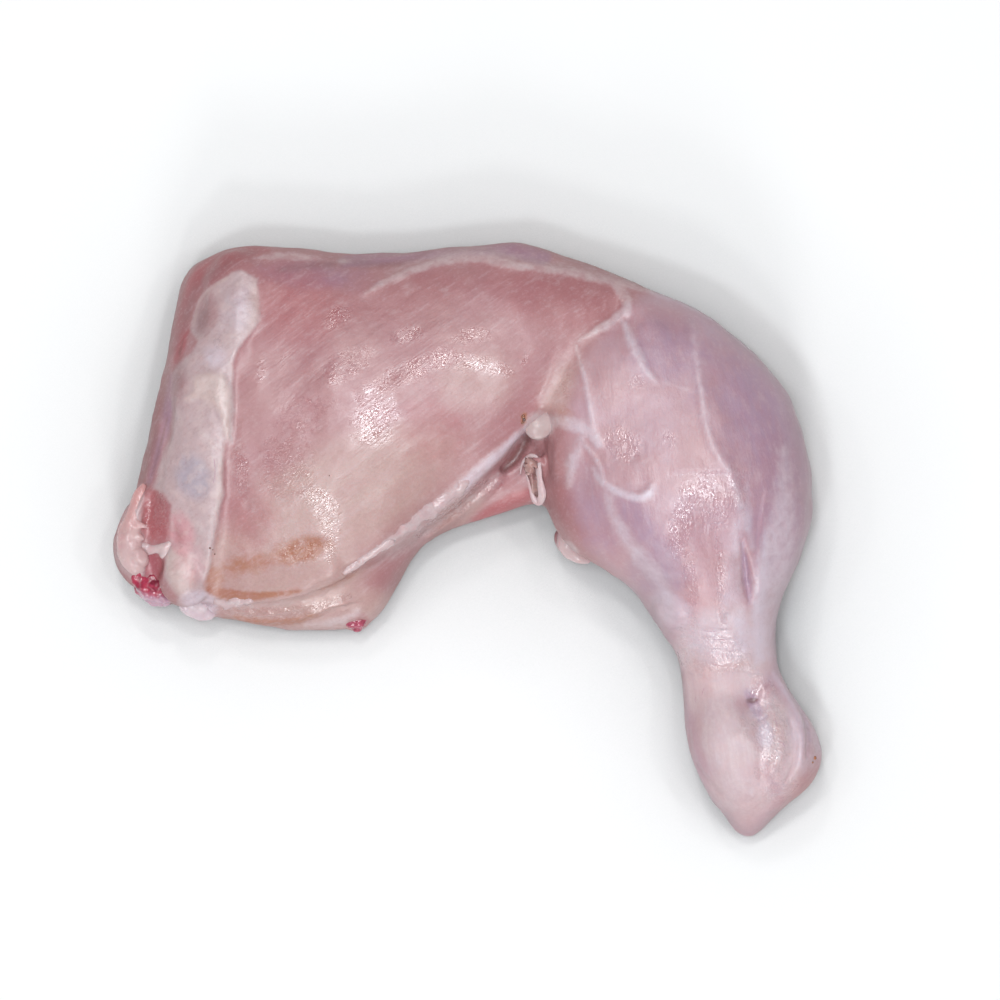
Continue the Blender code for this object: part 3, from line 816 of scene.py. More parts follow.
        Stroke(((-78.6, 22.0, 0.8), (-80.6, 14.0, 1.2), (-82.6, 8.0, 0.8)), 3.0, 0.9),
        Stroke(
            ((-74.4, 40.0, 0.3), (-75.8, 32.0, 0.5), (-77.6, 25.0, 0.5), (-79.6, 17.0, 0.4)), 1.6, 0.95
        ),
        Stroke(
            (
                (-70.6, 50.0, 0.8),
                (-70.0, 57.0, 1.2),
                (-67.0, 63.0, 1.8),
                (-60.0, 68.6, 2.2),
                (-50.0, 71.4, 1.4),
            ),
            4.4,
            0.9,
        ),
        Patch((-52.4, 4.0), (6.0, 8.0), 0.0, 9.0, 0.55),
        Stroke(HOLLOW, 2.6, 0.4),
        Patch((-9.0, 26.0), (10.0, 10.0), 0.0, 12.0, 0.36),
        Patch((-70.6, 1.4), (1.4, 2.8), 16.0, 2.4, 0.5),
        Patch((-63.4, 54.8), (2.6, 5.6), -14.0, 4.0, 0.5),
        Patch((-42.0, 57.0), (13.0, 8.0), -10.0, 12.0, 0.42),
        Stroke(((-76.6, 28.0, 0.8), (-79.0, 18.0, 1.2), (-81.0, 11.0, 1.0)), 4.0, 0.8),
        Patch((-70.6, 37.0), (2.4, 5.0), -6.0, 4.0, 0.4),
        Stroke(((62.4, -65.4, 0.3), (65.6, -69.6, 0.6), (68.0, -72.4, 0.4)), 2.4, 0.34),
        Patch((75.4, -65.2), (2.6, 1.4), 20.0, 2.0, 0.3),
    ),
    Zone.GRIT: (
        # Where the wet surface is knobbly: down the shin, on the hock and on the calf's glossy part
        Patch((58.0, 4.0), (12.0, 14.0), 0.0, 5.0, 0.5),
        Patch((60.0, -26.0), (11.0, 8.0), 0.0, 5.0, 0.7),
        Patch((74.0, -48.0), (6.0, 14.0), 6.0, 5.0, 1.0),
        Patch((75.0, -62.0), (7.0, 5.0), 24.0, 4.0, 1.0),
        Patch((38.0, 20.0), (7.0, 7.0), 0.0, 5.0, 0.5),
        Stroke(
            ((-62.0, -16.8, 1.2), (-50.0, -18.4, 1.6), (-38.0, -17.0, 1.4), (-29.0, -14.0, 1.0)), 3.0, 0.8
        ),
        Stroke(((-14.0, 0.0, 1.6), (-4.0, 6.4, 1.8), (1.4, 11.4, 1.8), (7.0, 13.4, 1.4)), 2.6, 0.8),
        Patch((-76.0, 6.0), (4.0, 6.6), 10.0, 3.0, 0.9),
        Outline(FAT_STRIP, 3.0, 0.3),
    ),
    Zone.PINK: (
        Patch((-70.0, 0.6), (3.0, 5.6), 10.0, 4.0, 1.1),
        Patch((-68.0, -6.0), (4.0, 6.0), 10.0, 5.0, 0.55),
        Patch((62.0, -24.0), (10.0, 6.0), 0.0, 6.0, 0.5),
        Patch((72.0, -58.0), (6.0, 5.0), 0.0, 5.0, 0.5),
        Stroke(((-83.4, 6.0, 1.2), (-85.0, 1.0, 1.6), (-84.6, -4.0, 1.4)), 3.0, 0.9),
        Patch((-74.8, 26.0), (1.6, 6.0), 8.0, 2.0, 0.6),
        Patch((60.0, -34.0), (7.0, 6.0), 0.0, 7.0, 0.4),
        Patch((70.0, -66.0), (7.0, 5.0), 0.0, 6.0, 0.5),
        Patch((57.0, -18.0), (7.0, 9.0), 20.0, 7.0, 0.55),
    ),
}

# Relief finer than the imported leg's: seams, films, hollows and wrinkles
RELIEF = (
    Stroke(SEAM_ABOVE, 2.0, rise=0.24),
    Stroke(KNEE_BAND, 1.6, rise=0.2),
    Stroke(KNEE_BRANCH, 1.4, rise=0.22),
    Stroke(TENDON, 2.4, rise=0.24),
    Stroke(KNEE_LINE, 1.4, rise=0.2),
    Stroke(KNEE_FAINT, 1.8, rise=0.14),
    Stroke(SHIN_BAND, 1.8, rise=0.2),
    Stroke(FLAP_LINE, 1.2, rise=0.3),
    Stroke(CALF_FASCIA, 2.0, rise=0.22),
    Stroke(KNOB_BAND, 2.4, rise=0.3),
    Stroke(CALF_SEAM, 3.0, rise=-0.25),
    Stroke(HOLLOW, 1.8, rise=-1.7),
    Stroke(SEAM_BELOW[3:], 1.8, rise=0.42),
    Stroke(CALF_FLAP, 2.4, rise=0.3),
    Outline(FAT_CURD, 1.8, rise=0.45),
    Outline(FAT_CUSHION, 2.6, rise=0.8),
    Stroke(FAT_SELVAGE, 1.6, rise=0.2),
    Stroke(((20.4, 25.4, 1.0), (21.0, 21.0, 1.2), (21.6, 16.6, 1.0)), 2.6, rise=0.9),
    Stroke(SLIT, 1.2, rise=-0.8),
    Stroke(HOCK_GROOVE, 1.6, rise=-0.7),
    Stroke(((70.8, -45.0, 0.8), (71.8, -49.0, 1.0), (70.6, -55.0, 0.8)), 2.8, rise=-0.55),
    Stroke(HOCK_RIDGE, 2.2, rise=0.5),
    Stroke(HOCK_STRIPE, 1.4, rise=-0.4),
    Stroke(HOCK_BAND, 1.8, rise=0.45),
    Stroke(HOCK_LINE, 1.4, rise=-0.35),
    Stroke(HOCK_CREASE, 0.9, rise=-0.4),
    Stroke(EDGE_FRINGE, 1.2, rise=0.3),
    Patch((69.3, -39.5), (1.2, 0.6), 4.0, 0.9, rise=-0.5),
    Patch((72.6, -37.6), (1.6, 1.2), 30.0, 1.4, rise=0.5),
    Stroke(((-10.0, 0.6, 0.6), (-3.0, 5.6, 0.9), (3.6, 11.0, 0.9), (8.0, 15.0, 0.6)), 2.4, rise=0.7),
    Patch((62.9, -19.2), (0.8, 1.1), 0.0, 0.9, rise=-0.5),
    Patch((48.8, -18.6), (3.2, 4.2), 30.0, 2.4, rise=0.7),
    Patch((-76.8, 5.0), (3.0, 6.0), 12.0, 1.4, rise=-0.3),
    Patch((-77.2, -6.6), (2.6, 3.0), 20.0, 1.2, rise=-0.4),
    Patch((-64.3, 55.4), (2.4, 5.4), -14.0, 3.0, rise=-0.6),
    Patch((63.4, -50.0), (5.4, 12.0), 20.0, 4.0, rise=0.5),
    Patch((-41.0, -2.4), (7.0, 2.8), 12.0, 3.0, rise=-0.18),
)
LEDGES = (
    # The thin layers of the flap below the thigh, the calf's film and small flap, and the shin's sheet
    Ledge(LOWER_FOLD, 0.75, 5.0),
    Ledge(FLAP_FOLD, 0.9, 4.0),
    Ledge(((-58.0, -17.6), (-52.0, -18.4), (-45.0, -18.0), (-38.0, -16.0)), 0.4, 3.0),
    Ledge(((48.6, 16.0), (54.0, 16.3), (59.0, 16.1), (64.8, 16.6)), 0.22, 5.0, 0.5),
    Ledge(((32.0, 14.6), (35.0, 12.4), (39.5, 10.4), (43.0, 10.4), (44.4, 13.2)), 0.16, 3.0, 0.8),
    Ledge(((72.2, 14.0), (70.4, 4.0), (70.2, -6.0), (70.2, -16.0), (70.6, -26.0)), 0.3, 5.0, 0.7),
    Ledge(
        ((-56.9, 23.0), (-57.0, 31.0), (-57.0, 38.0), (-56.2, 45.0), (-52.0, 51.0), (-50.6, 57.0)),
        0.42,
        4.0,
        0.9,
    ),
    Ledge(((-64.2, -11.0), (-62.4, -3.0), (-60.8, 5.0), (-59.6, 12.0), (-59.4, 20.0)), 0.5, 4.0, 0.9),
)
# Where fat and skin are lumpy at the scale of a grain of rice
LUMPY = (
    Outline(FAT_STRIP, 3.0, 0.8),
    Patch((72.0, -48.0), (9.0, 15.0), 0.0, 6.0, 1.0),
    Patch((72.0, -64.0), (7.0, 6.0), 0.0, 5.0, 0.8),
    Patch((62.0, -30.0), (8.0, 8.0), 0.0, 6.0, 0.6),
    Patch((-46.0, -18.0), (18.0, 4.0), 4.0, 4.0, 0.8),
    Patch((-10.0, 4.0), (14.0, 4.0), 38.0, 4.0, 0.6),
    Patch((38.0, 16.0), (8.0, 9.0), 0.0, 5.0, 0.5),
)
# Where the painted shade on the leg's thin edge and its walls is left out
SHADE_SPARED_EDGES = (
    Patch((-38.0, -20.0), (28.0, 9.0), 0.0, 6.0, 0.7),
    Patch((28.0, -2.0), (12.0, 14.0), 28.0, 8.0, 0.7),
    Patch((80.0, -48.0), (12.0, 20.0), 0.0, 8.0, 0.75),
    Patch((60.0, -40.0), (16.0, 24.0), 0.0, 8.0, 0.55),
    Patch((10.0, 8.0), (12.0, 6.0), 30.0, 4.0, 0.6),
    Stroke(EDGE_FRINGE, 2.4, 0.8),
)
# The hollow behind the knee, whose inner wall gets little of the painted shade
KNEE_CROOK = Patch((20.0, 20.0), (5.0, 12.0), soft=5.0)
# Creases across the ankle: where each runs
ANKLE_CREASES = (
    ((46.6, -15.4), (50.0, -17.4), (54.0, -18.0)),
    ((48.0, -18.4), (51.6, -19.8), (55.6, -20.0)),
    ((50.2, -22.0), (55.0, -22.2), (66.0, -22.6)),
    ((51.0, -24.4), (60.0, -24.6), (69.0, -25.6)),
    ((51.2, -27.4), (59.0, -27.2), (65.0, -28.4)),
    ((60.0, -31.4), (65.0, -31.8), (71.0, -33.6)),
    ((52.0, -32.4), (56.0, -33.4), (60.0, -35.4)),
)
CREASE_HALF_WIDTH = 0.12
CREASE_DEPTH = -0.24
CREASE_FADE = 0.45


# Shader nodes

Socket = bpy.types.NodeSocket


@dataclass(frozen=True)
class Cloud:
    """A noise pattern: how fine it is, its layers, how rough they are and how far they bend."""

    scale: float
    detail: float = 3.0
    rough: float = 0.55
    bend: float = 0.0


class Wiring:
    """Adds nodes to one tree and links them."""

    def __init__(self, tree: bpy.types.NodeTree) -> None:
        """Keeps the tree that the nodes go to."""
        self.tree = tree

    def put(self, socket: Socket, value) -> None:
        """Links a socket to another socket, or sets its value."""
        if isinstance(value, bpy.types.NodeSocket):
            self.tree.links.new(value, socket)
        elif value is not None:
            socket.default_value = value

    def add(self, kind: str, inputs: dict | None = None, **settings) -> bpy.types.Node:
        """Adds a node.

        Args:
            kind: Blender's name for the node's type.
            inputs: A value or a socket for each input, by its name or number.
            **settings: The node's own settings.

        Returns:
            The node.
        """
        node = self.tree.nodes.new(kind)
        for name, value in settings.items():
            setattr(node, name, value)
        for name, value in (inputs or {}).items():
            self.put(node.inputs[name], value)
        return node

    def math(self, operation: str, first, second=None, third=None) -> Socket:
        """The result of a sum on one to three values."""
        inputs = {0: first, 1: second, 2: third}
        return self.add("ShaderNodeMath", inputs, operation=operation).outputs[0]

    def times(self, first, second, more=None) -> Socket:
        """The product of two values, with a third added to it."""
        return self.math("MULTIPLY" if more is None else "MULTIPLY_ADD", first, second, more)

    def mix(self, factor, first, second) -> Socket:
        """A colour between two colours."""
        inputs = {0: factor, 6: first, 7: second}
        return self.add("ShaderNodeMix", inputs, data_type="RGBA").outputs[2]

    def blend(self, factor, first, second) -> Socket:
        """A number between two numbers."""
        return self.add("ShaderNodeMix", {0: factor, 2: first, 3: second}).outputs[0]

    def attribute(self, name: str) -> Socket:
        """A number stored on the mesh's points."""
        return self.add("ShaderNodeAttribute", attribute_name=name).outputs["Fac"]

    def spread(self, value, low: float, high: float, to_low=0.0, to_high=1.0) -> Socket:
        """A value moved smoothly from one range to another."""
        inputs = {0: value, 1: low, 2: high, 3: to_low, 4: to_high}
        node = self.add("ShaderNodeMapRange", inputs, interpolation_type="SMOOTHSTEP")
        return node.outputs[0]

    def noise(self, vector, cloud: Cloud, scale=None) -> Socket:
        """Noise from 0 to 1, at the cloud's own scale unless another is given."""
        inputs = {"Vector": vector, "Scale": cloud.scale if scale is None else scale}
        inputs |= {"Detail": cloud.detail, "Roughness": cloud.rough, "Distortion": cloud.bend}
        return self.add("ShaderNodeTexNoise", inputs).outputs[0]

    def turned(self, vector, degrees: float) -> Socket:
        """A vector turned about Z."""
        inputs = {"Vector": vector, "Rotation": (0, 0, np.radians(degrees))}
        return self.add("ShaderNodeMapping", inputs).outputs[0]

    def drawn_out(self, vector, length) -> Socket:
        """A vector whose X counts for less, so that a noise read with it runs along X."""
        parts = self.add("ShaderNodeSeparateXYZ", {0: vector}).outputs
        inputs = {0: self.math("DIVIDE", parts[0], length), 1: parts[1], 2: parts[2]}
        return self.add("ShaderNodeCombineXYZ", inputs).outputs[0]

    def group(self, tree: bpy.types.NodeTree, **inputs) -> bpy.types.Node:
        """Places a node group, its inputs by name."""
        node = self.tree.nodes.new("ShaderNodeGroup")
        node.node_tree = tree
        for name, value in inputs.items():
            self.put(node.inputs[name], value)
        return node


class EffectGroups:
    """Surface effects that more than one finish uses, each a node group that is built once."""

    TORN_EDGE = Cloud(400.0, 4.0, 0.6, 0.4)
    FIBRE = Cloud(900.0, 3.0, 0.6, 0.15)
    BUNDLE = Cloud(200.0, 2.0, 0.5, 0.3)
    BUNDLE_SCALE = 0.22
    RIDGES = Cloud(1100.0, 2.0, 0.6, 0.35)
    PITS = Cloud(2400.0, 1.0, 0.5)
    PIT_SCALE = 2.2
    PIT_DEPTH = 0.16
    GRAIN_LEVEL = 0.58

    def __init__(self) -> None:
        """Builds every group."""
        self.ragged = self.build_ragged()
        self.fibres = self.build_fibres()
        self.grain = self.build_grain()

    @staticmethod
    def begin(name: str, inputs: dict, outputs: tuple) -> tuple[Wiring, dict, dict]:
        """Starts a group.

        Args:
            name: The group's name.
            inputs: Default value for each input, a number or None for a vector.
            outputs: The names of its outputs, all numbers.

        Returns:
            The wiring, what the group is given and what it puts out, both by name.
        """
        tree = bpy.data.node_groups.new(name, "ShaderNodeTree")
        for title, value in inputs.items():
            kind = "NodeSocketVector" if value is None else "NodeSocketFloat"
            socket = tree.interface.new_socket(title, in_out="INPUT", socket_type=kind)
            if value is not None:
                socket.default_value = value
        for title in outputs:
            tree.interface.new_socket(title, in_out="OUTPUT", socket_type="NodeSocketFloat")
        wire = Wiring(tree)
        return wire, wire.add("NodeGroupInput").outputs, wire.add("NodeGroupOutput").inputs

    def build_ragged(self) -> bpy.types.NodeTree:
        """A mask whose edge is torn by noise, from a weight that fades smoothly."""
        inputs = {"Weight": 0.0, "Vector": None, "Scale": 400.0, "Tear": 0.4, "Softness": 0.2}
        wire, given, result = self.begin("ragged edge", inputs, ("Mask",))
        torn = wire.noise(given["Vector"], self.TORN_EDGE, given["Scale"])
        level = wire.times(wire.math("SUBTRACT", torn, 0.5), given["Tear"], given["Weight"])
        low = wire.math("SUBTRACT", 0.5, given["Softness"])
        high = wire.math("ADD", 0.5, given["Softness"])
        wire.put(result["Mask"], wire.spread(level, low, high))
        return wire.tree

    def build_fibres(self) -> bpy.types.NodeTree:
        """Fine muscle fibres, and the bundles that they lie in, along the vector's X."""
        inputs = {"Vector": None, "Scale": 900.0, "Length": 14.0}
        wire, given, result = self.begin("muscle fibres", inputs, ("Fibre", "Bundle"))
        drawn = wire.drawn_out(given["Vector"], given["Length"])
        wire.put(result["Fibre"], wire.noise(drawn, self.FIBRE, given["Scale"]))
        wide = wire.times(given["Scale"], self.BUNDLE_SCALE)
        wire.put(result["Bundle"], wire.noise(drawn, self.BUNDLE, wide))
        return wire.tree

    def build_grain(self) -> bpy.types.NodeTree:
        """The grain of a wet surface, short ridges along the vector's X with fine pits."""
        inputs = {"Vector": None, "Scale": 1100.0, "Length": 2.4}
        wire, given, result = self.begin("wet grain", inputs, ("Height",))
        drawn = wire.drawn_out(given["Vector"], given["Length"])
        ridges = wire.noise(drawn, self.RIDGES, given["Scale"])
        pits = wire.noise(given["Vector"], self.PITS, wire.times(given["Scale"], self.PIT_SCALE))
        level = wire.times(pits, self.PIT_DEPTH, ridges)
        wire.put(result["Height"], wire.math("SUBTRACT", level, self.GRAIN_LEVEL))
        return wire.tree


def colour(red: float, green: float, blue: float) -> tuple:
    """A linear colour with full opacity."""
    return (red, green, blue, 1.0)


class Finish:
    """A material in the making: its wiring, its Principled shader and its Object coordinates."""

    def __init__(self, name: str) -> None:
        """Starts the material."""
        self.made = bpy.data.materials.new(name)
        self.made.use_nodes = True
        self.wire = Wiring(self.made.node_tree)
        self.shader = self.made.node_tree.nodes["Principled BSDF"]
        self.place = self.wire.add("ShaderNodeTexCoord").outputs["Object"]

    def show(self, base, roughness) -> None:
        """Takes the base colour and the roughness, sockets or plain values."""
        self.wire.put(self.shader.inputs["Base Color"], base)
        self.wire.put(self.shader.inputs["Roughness"], roughness)

    def emboss(self, height, strength: float, distance: float) -> None:
        """Raises the surface's shading by a height; distance is in metres."""
        inputs = {"Strength": strength, "Distance": distance, "Height": height}
        bump = self.wire.add("ShaderNodeBump", inputs)
        self.wire.put(self.shader.inputs["Normal"], bump.outputs[0])

    def settle(self, **values) -> bpy.types.Material:
        """Sets the shader's uniform values, by name with _ for a space, and ends the material."""
        for name, value in values.items():
            self.shader.inputs[name.replace("_", " ")].default_value = value
        return self.made


@dataclass(frozen=True)
class Tone:
    """A colour that a zone lays over the flesh, how much of it covers, and how its edge is torn."""

    tint: tuple
    cover: float
    scale: float = 260.0
    tear: float = 0.5
    softness: float = 0.42


@dataclass(frozen=True)
class Weave:
    """The fibres and the wet grain of one muscle: their way in degrees, how fine each is and how
    long for its width, and how high the grain stands."""

    way: float
    fibre: tuple
    grain: tuple
    height: float


@dataclass(frozen=True)
class FleshFinish:
    """Wet raw muscle with its fat and films, its colours by zone."""

    name: str = "wet_flesh"
    slot: Slot = Slot.FLESH

    # Colours
    pink: tuple = colour(0.45, 0.222, 0.232)
    deep_pink: tuple = colour(0.42, 0.178, 0.205)
    tan: Tone = Tone(colour(0.54, 0.36, 0.33), 0.9, 120.0)
    calf: tuple = colour(0.535, 0.335, 0.395)
    calf_light: tuple = colour(0.53, 0.31, 0.34)
    curd: tuple = colour(0.67, 0.53, 0.52)
    # Painted shade tints: the dark red that the leg's thin edge and steep walls are painted toward, on the
    # thigh and on the calf
    wall: tuple = colour(0.265, 0.09, 0.09)
    calf_wall_shade: tuple = colour(0.37, 0.25, 0.29)
    deep: tuple = colour(0.40, 0.16, 0.18)
    film: Tone = Tone(colour(0.67, 0.535, 0.55), 1.0, 480.0, 0.8)
    calf_film: tuple = colour(0.65, 0.535, 0.60)
    overlays: tuple = (
        (Zone.CREAM, Tone(colour(0.69, 0.55, 0.555), 0.85, 180.0, 0.4)),
        (Zone.PURPLE, Tone(colour(0.35, 0.23, 0.365), 0.66, 260.0, 0.7)),
        (Zone.RED, Tone(colour(0.40, 0.12, 0.135), 0.48, 200.0)),
        (Zone.ORANGE, Tone(colour(0.41, 0.145, 0.06), 0.84, 520.0, 0.9)),
        (Zone.PINK, Tone(colour(0.72, 0.42, 0.44), 0.5, 240.0, 0.6)),
    )
    fat: Tone = Tone(colour(0.55, 0.415, 0.43), 0.9, 300.0, 0.8)
    fat_overlays: tuple = (
        (Zone.CREAM, Tone(colour(0.60, 0.46, 0.43), 0.75, 260.0, 0.5)),
        (Zone.PURPLE, Tone(colour(0.49, 0.395, 0.44), 0.75, 220.0, 0.5)),
        (Zone.PINK, Tone(colour(0.70, 0.33, 0.37), 0.7, 300.0, 0.7)),
        (Zone.BLUE, Tone(colour(0.40, 0.375, 0.46), 0.72, 200.0, 0.16)),
    )
    over_all: tuple = (
        (Zone.BLUSH, Tone(colour(0.44, 0.08, 0.095), 0.7, 300.0, 0.5)),
        # Painted shade in brown-mauve, with some of the flesh's own tone
        (Zone.MAUVE, Tone(colour(0.24, 0.125, 0.135), 0.72, 260.0, 0.5)),
        (Zone.MILK, Tone(colour(0.68, 0.585, 0.675), 0.72, 320.0, 0.6)),
        # Painted shade in creases, folds, pits and hollows
        (Zone.DARK, Tone(colour(0.20, 0.085, 0.08), 0.75, 500.0, 0.5, 0.35)),
    )

    # Patterns, and how much of the colour below them each one covers at its strongest
    thigh_weave: Weave = Weave(-38.0, (1100.0, 20.0), (1900.0, 3.2), 0.8)
    calf_weave: Weave = Weave(-98.0, (900.0, 14.0), (1600.0, 1.9), 1.0)
    clouds: Cloud = Cloud(75.0)
    blotches: Cloud = Cloud(230.0, 4.0, 0.6)
    veils: Cloud = Cloud(330.0, 3.0, 0.6, 0.3)
    curds: Cloud = Cloud(420.0, 3.0, 0.5)
    mottle: Cloud = Cloud(1300.0, 2.0, 0.7)
    specks: Cloud = Cloud(700.0, 3.0, 0.65, 0.3)
    knobs: Cloud = Cloud(560.0, 2.0, 0.5)
    cloud_cover: float = 0.55
    streak_cover: float = 0.28
    pale_cover: float = 0.16
    veil_cover: tuple = (0.4, 0.9)
    curd_cover: float = 0.45
    dark_mottle: float = 0.16
    light_mottle: float = 0.13
    # How much painted shade the steep walls and the thin edge get
    wall_shade_cover: float = 0.82
    edge_cover: float = 0.42

    # Gloss and relief
    roughness: float = 0.4
    wet_roughness: float = 0.14
    rubbery_roughness: float = 0.16
    uneven_roughness: tuple = (-0.03, 0.05)
    damp: float = 0.12
    full_gloss: float = 0.95
    speck_contrast: float = 2.4
    speck_level: float = -0.5
    dry_grain: float = 0.35
    wet_grain: float = 0.65
    fibre_height: tuple = (0.3, 0.03)
    film_height: float = 0.6
    knob_contrast: float = 1.9
    knob_level: float = -0.95
    relief: float = 0.00014
    shine: float = 1.0
    bending: float = 1.48
    scatter: float = 0.2
    scatter_reach: float = 0.002
    scatter_colour: tuple = (1.0, 0.42, 0.34)

    @staticmethod
    def woven(made: Finish, effects: EffectGroups, weave: Weave) -> tuple[Socket, Socket, Socket]:
        """The patterns that run along one muscle.

        Args:
            made: The material in the making.
            effects: The shared node groups.
            weave: The muscle's fibres and grain.

        Returns:
            The fibres, their bundles and the wet grain.
        """
        way = made.wire.turned(made.place, weave.way)
        fineness, length = weave.fibre
        lines = made.wire.group(effects.fibres, Vector=way, Scale=fineness, Length=length).outputs
        fineness, length = weave.grain
        grain = made.wire.group(effects.grain, Vector=way, Scale=fineness, Length=length).outputs[0]
        return lines["Fibre"], lines["Bundle"], made.wire.times(grain, weave.height)

    def material(self, effects: EffectGroups) -> bpy.types.Material:
        """Builds the material.

        Args:
            effects: The shared node groups.

        Returns:
            The finished material.
        """
        made = Finish(self.name)
        wire, place = made.wire, made.place
        weight = {zone: wire.attribute(zone.value) for zone in Zone}

        def mask(zone: Zone, tone: Tone) -> Socket:
            """The zone's weight as a mask with a torn edge."""
            given = {"Scale": tone.scale, "Tear": tone.tear, "Softness": tone.softness}
            return wire.group(effects.ragged, Weight=weight[zone], Vector=place, **given).outputs["Mask"]

        def laid(base: Socket, zone: Zone, tone: Tone) -> Socket:
            """The base colour with the zone's tone laid over it."""
            return wire.mix(wire.times(mask(zone, tone), tone.cover), base, tone.tint)

        # The muscle's own patterns, on the thigh and on the calf
        on_calf = wire.spread(weight[Zone.CALF], 0.25, 0.75)
        woven = [self.woven(made, effects, weave) for weave in (self.thigh_weave, self.calf_weave)]
        fibre, bundle, grain = (wire.blend(on_calf, thigh, calf) for thigh, calf in zip(*woven))
        cloud = wire.noise(place, self.clouds)
        blotch = wire.noise(place, self.blotches)

        # Colour, from the muscle up to the films that lie over it
        base = wire.mix(wire.spread(cloud, 0.38, 0.7, 0.0, self.cloud_cover), self.pink, self.deep_pink)
        base = laid(base, Zone.TAN, self.tan)
        lilac = wire.mix(wire.spread(cloud, 0.35, 0.65), self.calf_light, self.calf)
        base = wire.mix(on_calf, base, lilac)
        for zone, tone in self.overlays:
            base = laid(base, zone, tone)
        streaks = wire.spread(wire.times(bundle, 0.5, fibre), 0.55, 0.95, 0.0, self.streak_cover)
        base = wire.mix(streaks, base, self.deep)
        pale = wire.spread(wire.times(blotch, 0.6, wire.times(fibre, 0.4)), 0.5, 0.66, 0.0, self.pale_cover)
        tissue = wire.mix(on_calf, self.film.tint, self.calf_film)
        base = wire.mix(pale, base, tissue)
        films = mask(Zone.FASCIA, self.film)
        dense = wire.spread(wire.noise(place, self.veils), 0.25, 0.7, *self.veil_cover)
        base = wire.mix(wire.times(films, dense), base, tissue)

        # Fat, with its own tints and curds
        fat = self.fat.tint
        for zone, tone in self.fat_overlays:
            fat = laid(fat, zone, tone)
        curds = wire.noise(place, self.curds)
        fat = wire.mix(wire.spread(curds, 0.45, 0.7, 0.0, self.curd_cover), fat, self.curd)
        on_fat = wire.times(mask(Zone.FAT, self.fat), self.fat.cover)
        base = wire.mix(on_fat, base, fat)
        for zone, tone in self.over_all:
            base = laid(base, zone, tone)

        # Painted shade: the thin edge of the leg and its walls, which lean away from the light, are painted
        # darker toward a dark red tint; the dark mottle after it borrows the same tint at random
        rim = wire.mix(on_calf, self.wall, self.calf_wall_shade)
        base = wire.mix(wire.times(wire.attribute("edge"), self.edge_cover), base, rim)
        base = wire.mix(wire.times(wire.attribute("wall"), self.wall_shade_cover), base, rim)
        mottle = wire.times(fibre, 0.5, wire.times(wire.noise(place, self.mottle), 0.5))
        base = wire.mix(wire.spread(mottle, 0.5, 0.36, 0.0, self.dark_mottle), base, rim)
        base = wire.mix(wire.spread(mottle, 0.5, 0.64, 0.0, self.light_mottle), base, tissue)

        # Gloss: smoother where the surface is wettest, duller where the calf's skin is like rubber
        specks = wire.times(wire.noise(place, self.specks), self.speck_contrast, self.speck_level)
        gloss = wire.spread(wire.times(weight[Zone.WET], specks, self.damp), 0.0, self.full_gloss)
        rubbery = wire.times(weight[Zone.CREAM], on_calf)
        uneven = wire.spread(blotch, 0.35, 0.65, *self.uneven_roughness)
        dry = wire.times(rubbery, self.rubbery_roughness, self.roughness)
        rough = wire.times(gloss, wire.math("SUBTRACT", self.wet_roughness, dry), dry)
        made.show(base, wire.math("ADD", rough, uneven))

        # Relief that is finer than the mesh
        lines = wire.times(fibre, wire.spread(rubbery, 0.1, 0.7, *self.fibre_height))
        height = wire.times(grain, wire.times(gloss, self.wet_grain, self.dry_grain), lines)
        height = wire.times(films, wire.times(dense, self.film_height), height)
        height = wire.times(on_fat, curds, height)
        knobs = wire.times(wire.noise(place, self.knobs), self.knob_contrast, self.knob_level)
        made.emboss(wire.times(knobs, weight[Zone.GRIT], height), 1.0, self.relief)
        return made.settle(
            Subsurface_Weight=self.scatter,
            Subsurface_Scale=self.scatter_reach,
            Subsurface_Radius=self.scatter_colour,
            Specular_IOR_Level=self.shine,
            IOR=self.bending,
        )


@dataclass(frozen=True)
class FatFinish:
    """Wet fat or fascia; its points carry how deep inside the edge they are."""

    name: str = "white_fat"
    slot: Slot = Slot.FAT
    white: tuple = colour(0.66, 0.505, 0.51)
    second: tuple = colour(0.60, 0.435, 0.45)
    blush: tuple = colour(0.68, 0.37, 0.40)
    edge: tuple = colour(0.60, 0.44, 0.45)
    edge_width: float = 1.2
    edge_cover: float = 0.75
    blush_cover: float = 0.5
    curd_cover: float = 0.25
    tints: Cloud = Cloud(220.0)
    blushes: Cloud = Cloud(300.0, 4.0, 0.6)
    curds: Cloud = Cloud(900.0, 4.0, 0.6)
    lumps: Cloud = Cloud(380.0, 2.0, 0.5)
    grain: tuple = (700.0, 1.4)
    lump_height: float = 0.5
    grain_height: float = 0.3
    relief: float = 0.0003
    roughness: float = 0.27
    uneven_roughness: tuple = (-0.06, 0.08)
    scatter: float = 0.25
    scatter_reach: float = 0.002
    scatter_colour: tuple = (1.0, 0.6, 0.5)

    def material(self, effects: EffectGroups) -> bpy.types.Material:
        """Builds the material.

        Args:
            effects: The shared node groups.

        Returns:
            The finished material.
        """
        made = Finish(self.name)
        wire, place = made.wire, made.place
        base = wire.mix(wire.spread(wire.noise(place, self.tints), 0.42, 0.66), self.white, self.second)
        flushed = wire.spread(wire.noise(place, self.blushes), 0.52, 0.72, 0.0, self.blush_cover)
        base = wire.mix(flushed, base, self.blush)
        curds = wire.spread(wire.noise(place, self.curds), 0.5, 0.8)
        base = wire.mix(wire.times(curds, self.curd_cover), base, self.white)
        thin = wire.spread(wire.attribute("depth"), 0.0, self.edge_width, self.edge_cover, 0.0)
        low, high = (self.roughness + more for more in self.uneven_roughness)
        made.show(wire.mix(thin, base, self.edge), wire.spread(curds, 0.0, 1.0, low, high))
        scale, length = self.grain
        grain = wire.group(effects.grain, Vector=place, Scale=scale, Length=length).outputs[0]
        lumps = wire.times(wire.noise(place, self.lumps), self.lump_height)
        made.emboss(wire.times(grain, self.grain_height, lumps), 0.5, self.relief)
        return made.settle(
            Subsurface_Weight=self.scatter,
            Subsurface_Scale=self.scatter_reach,
            Subsurface_Radius=self.scatter_colour,
        )


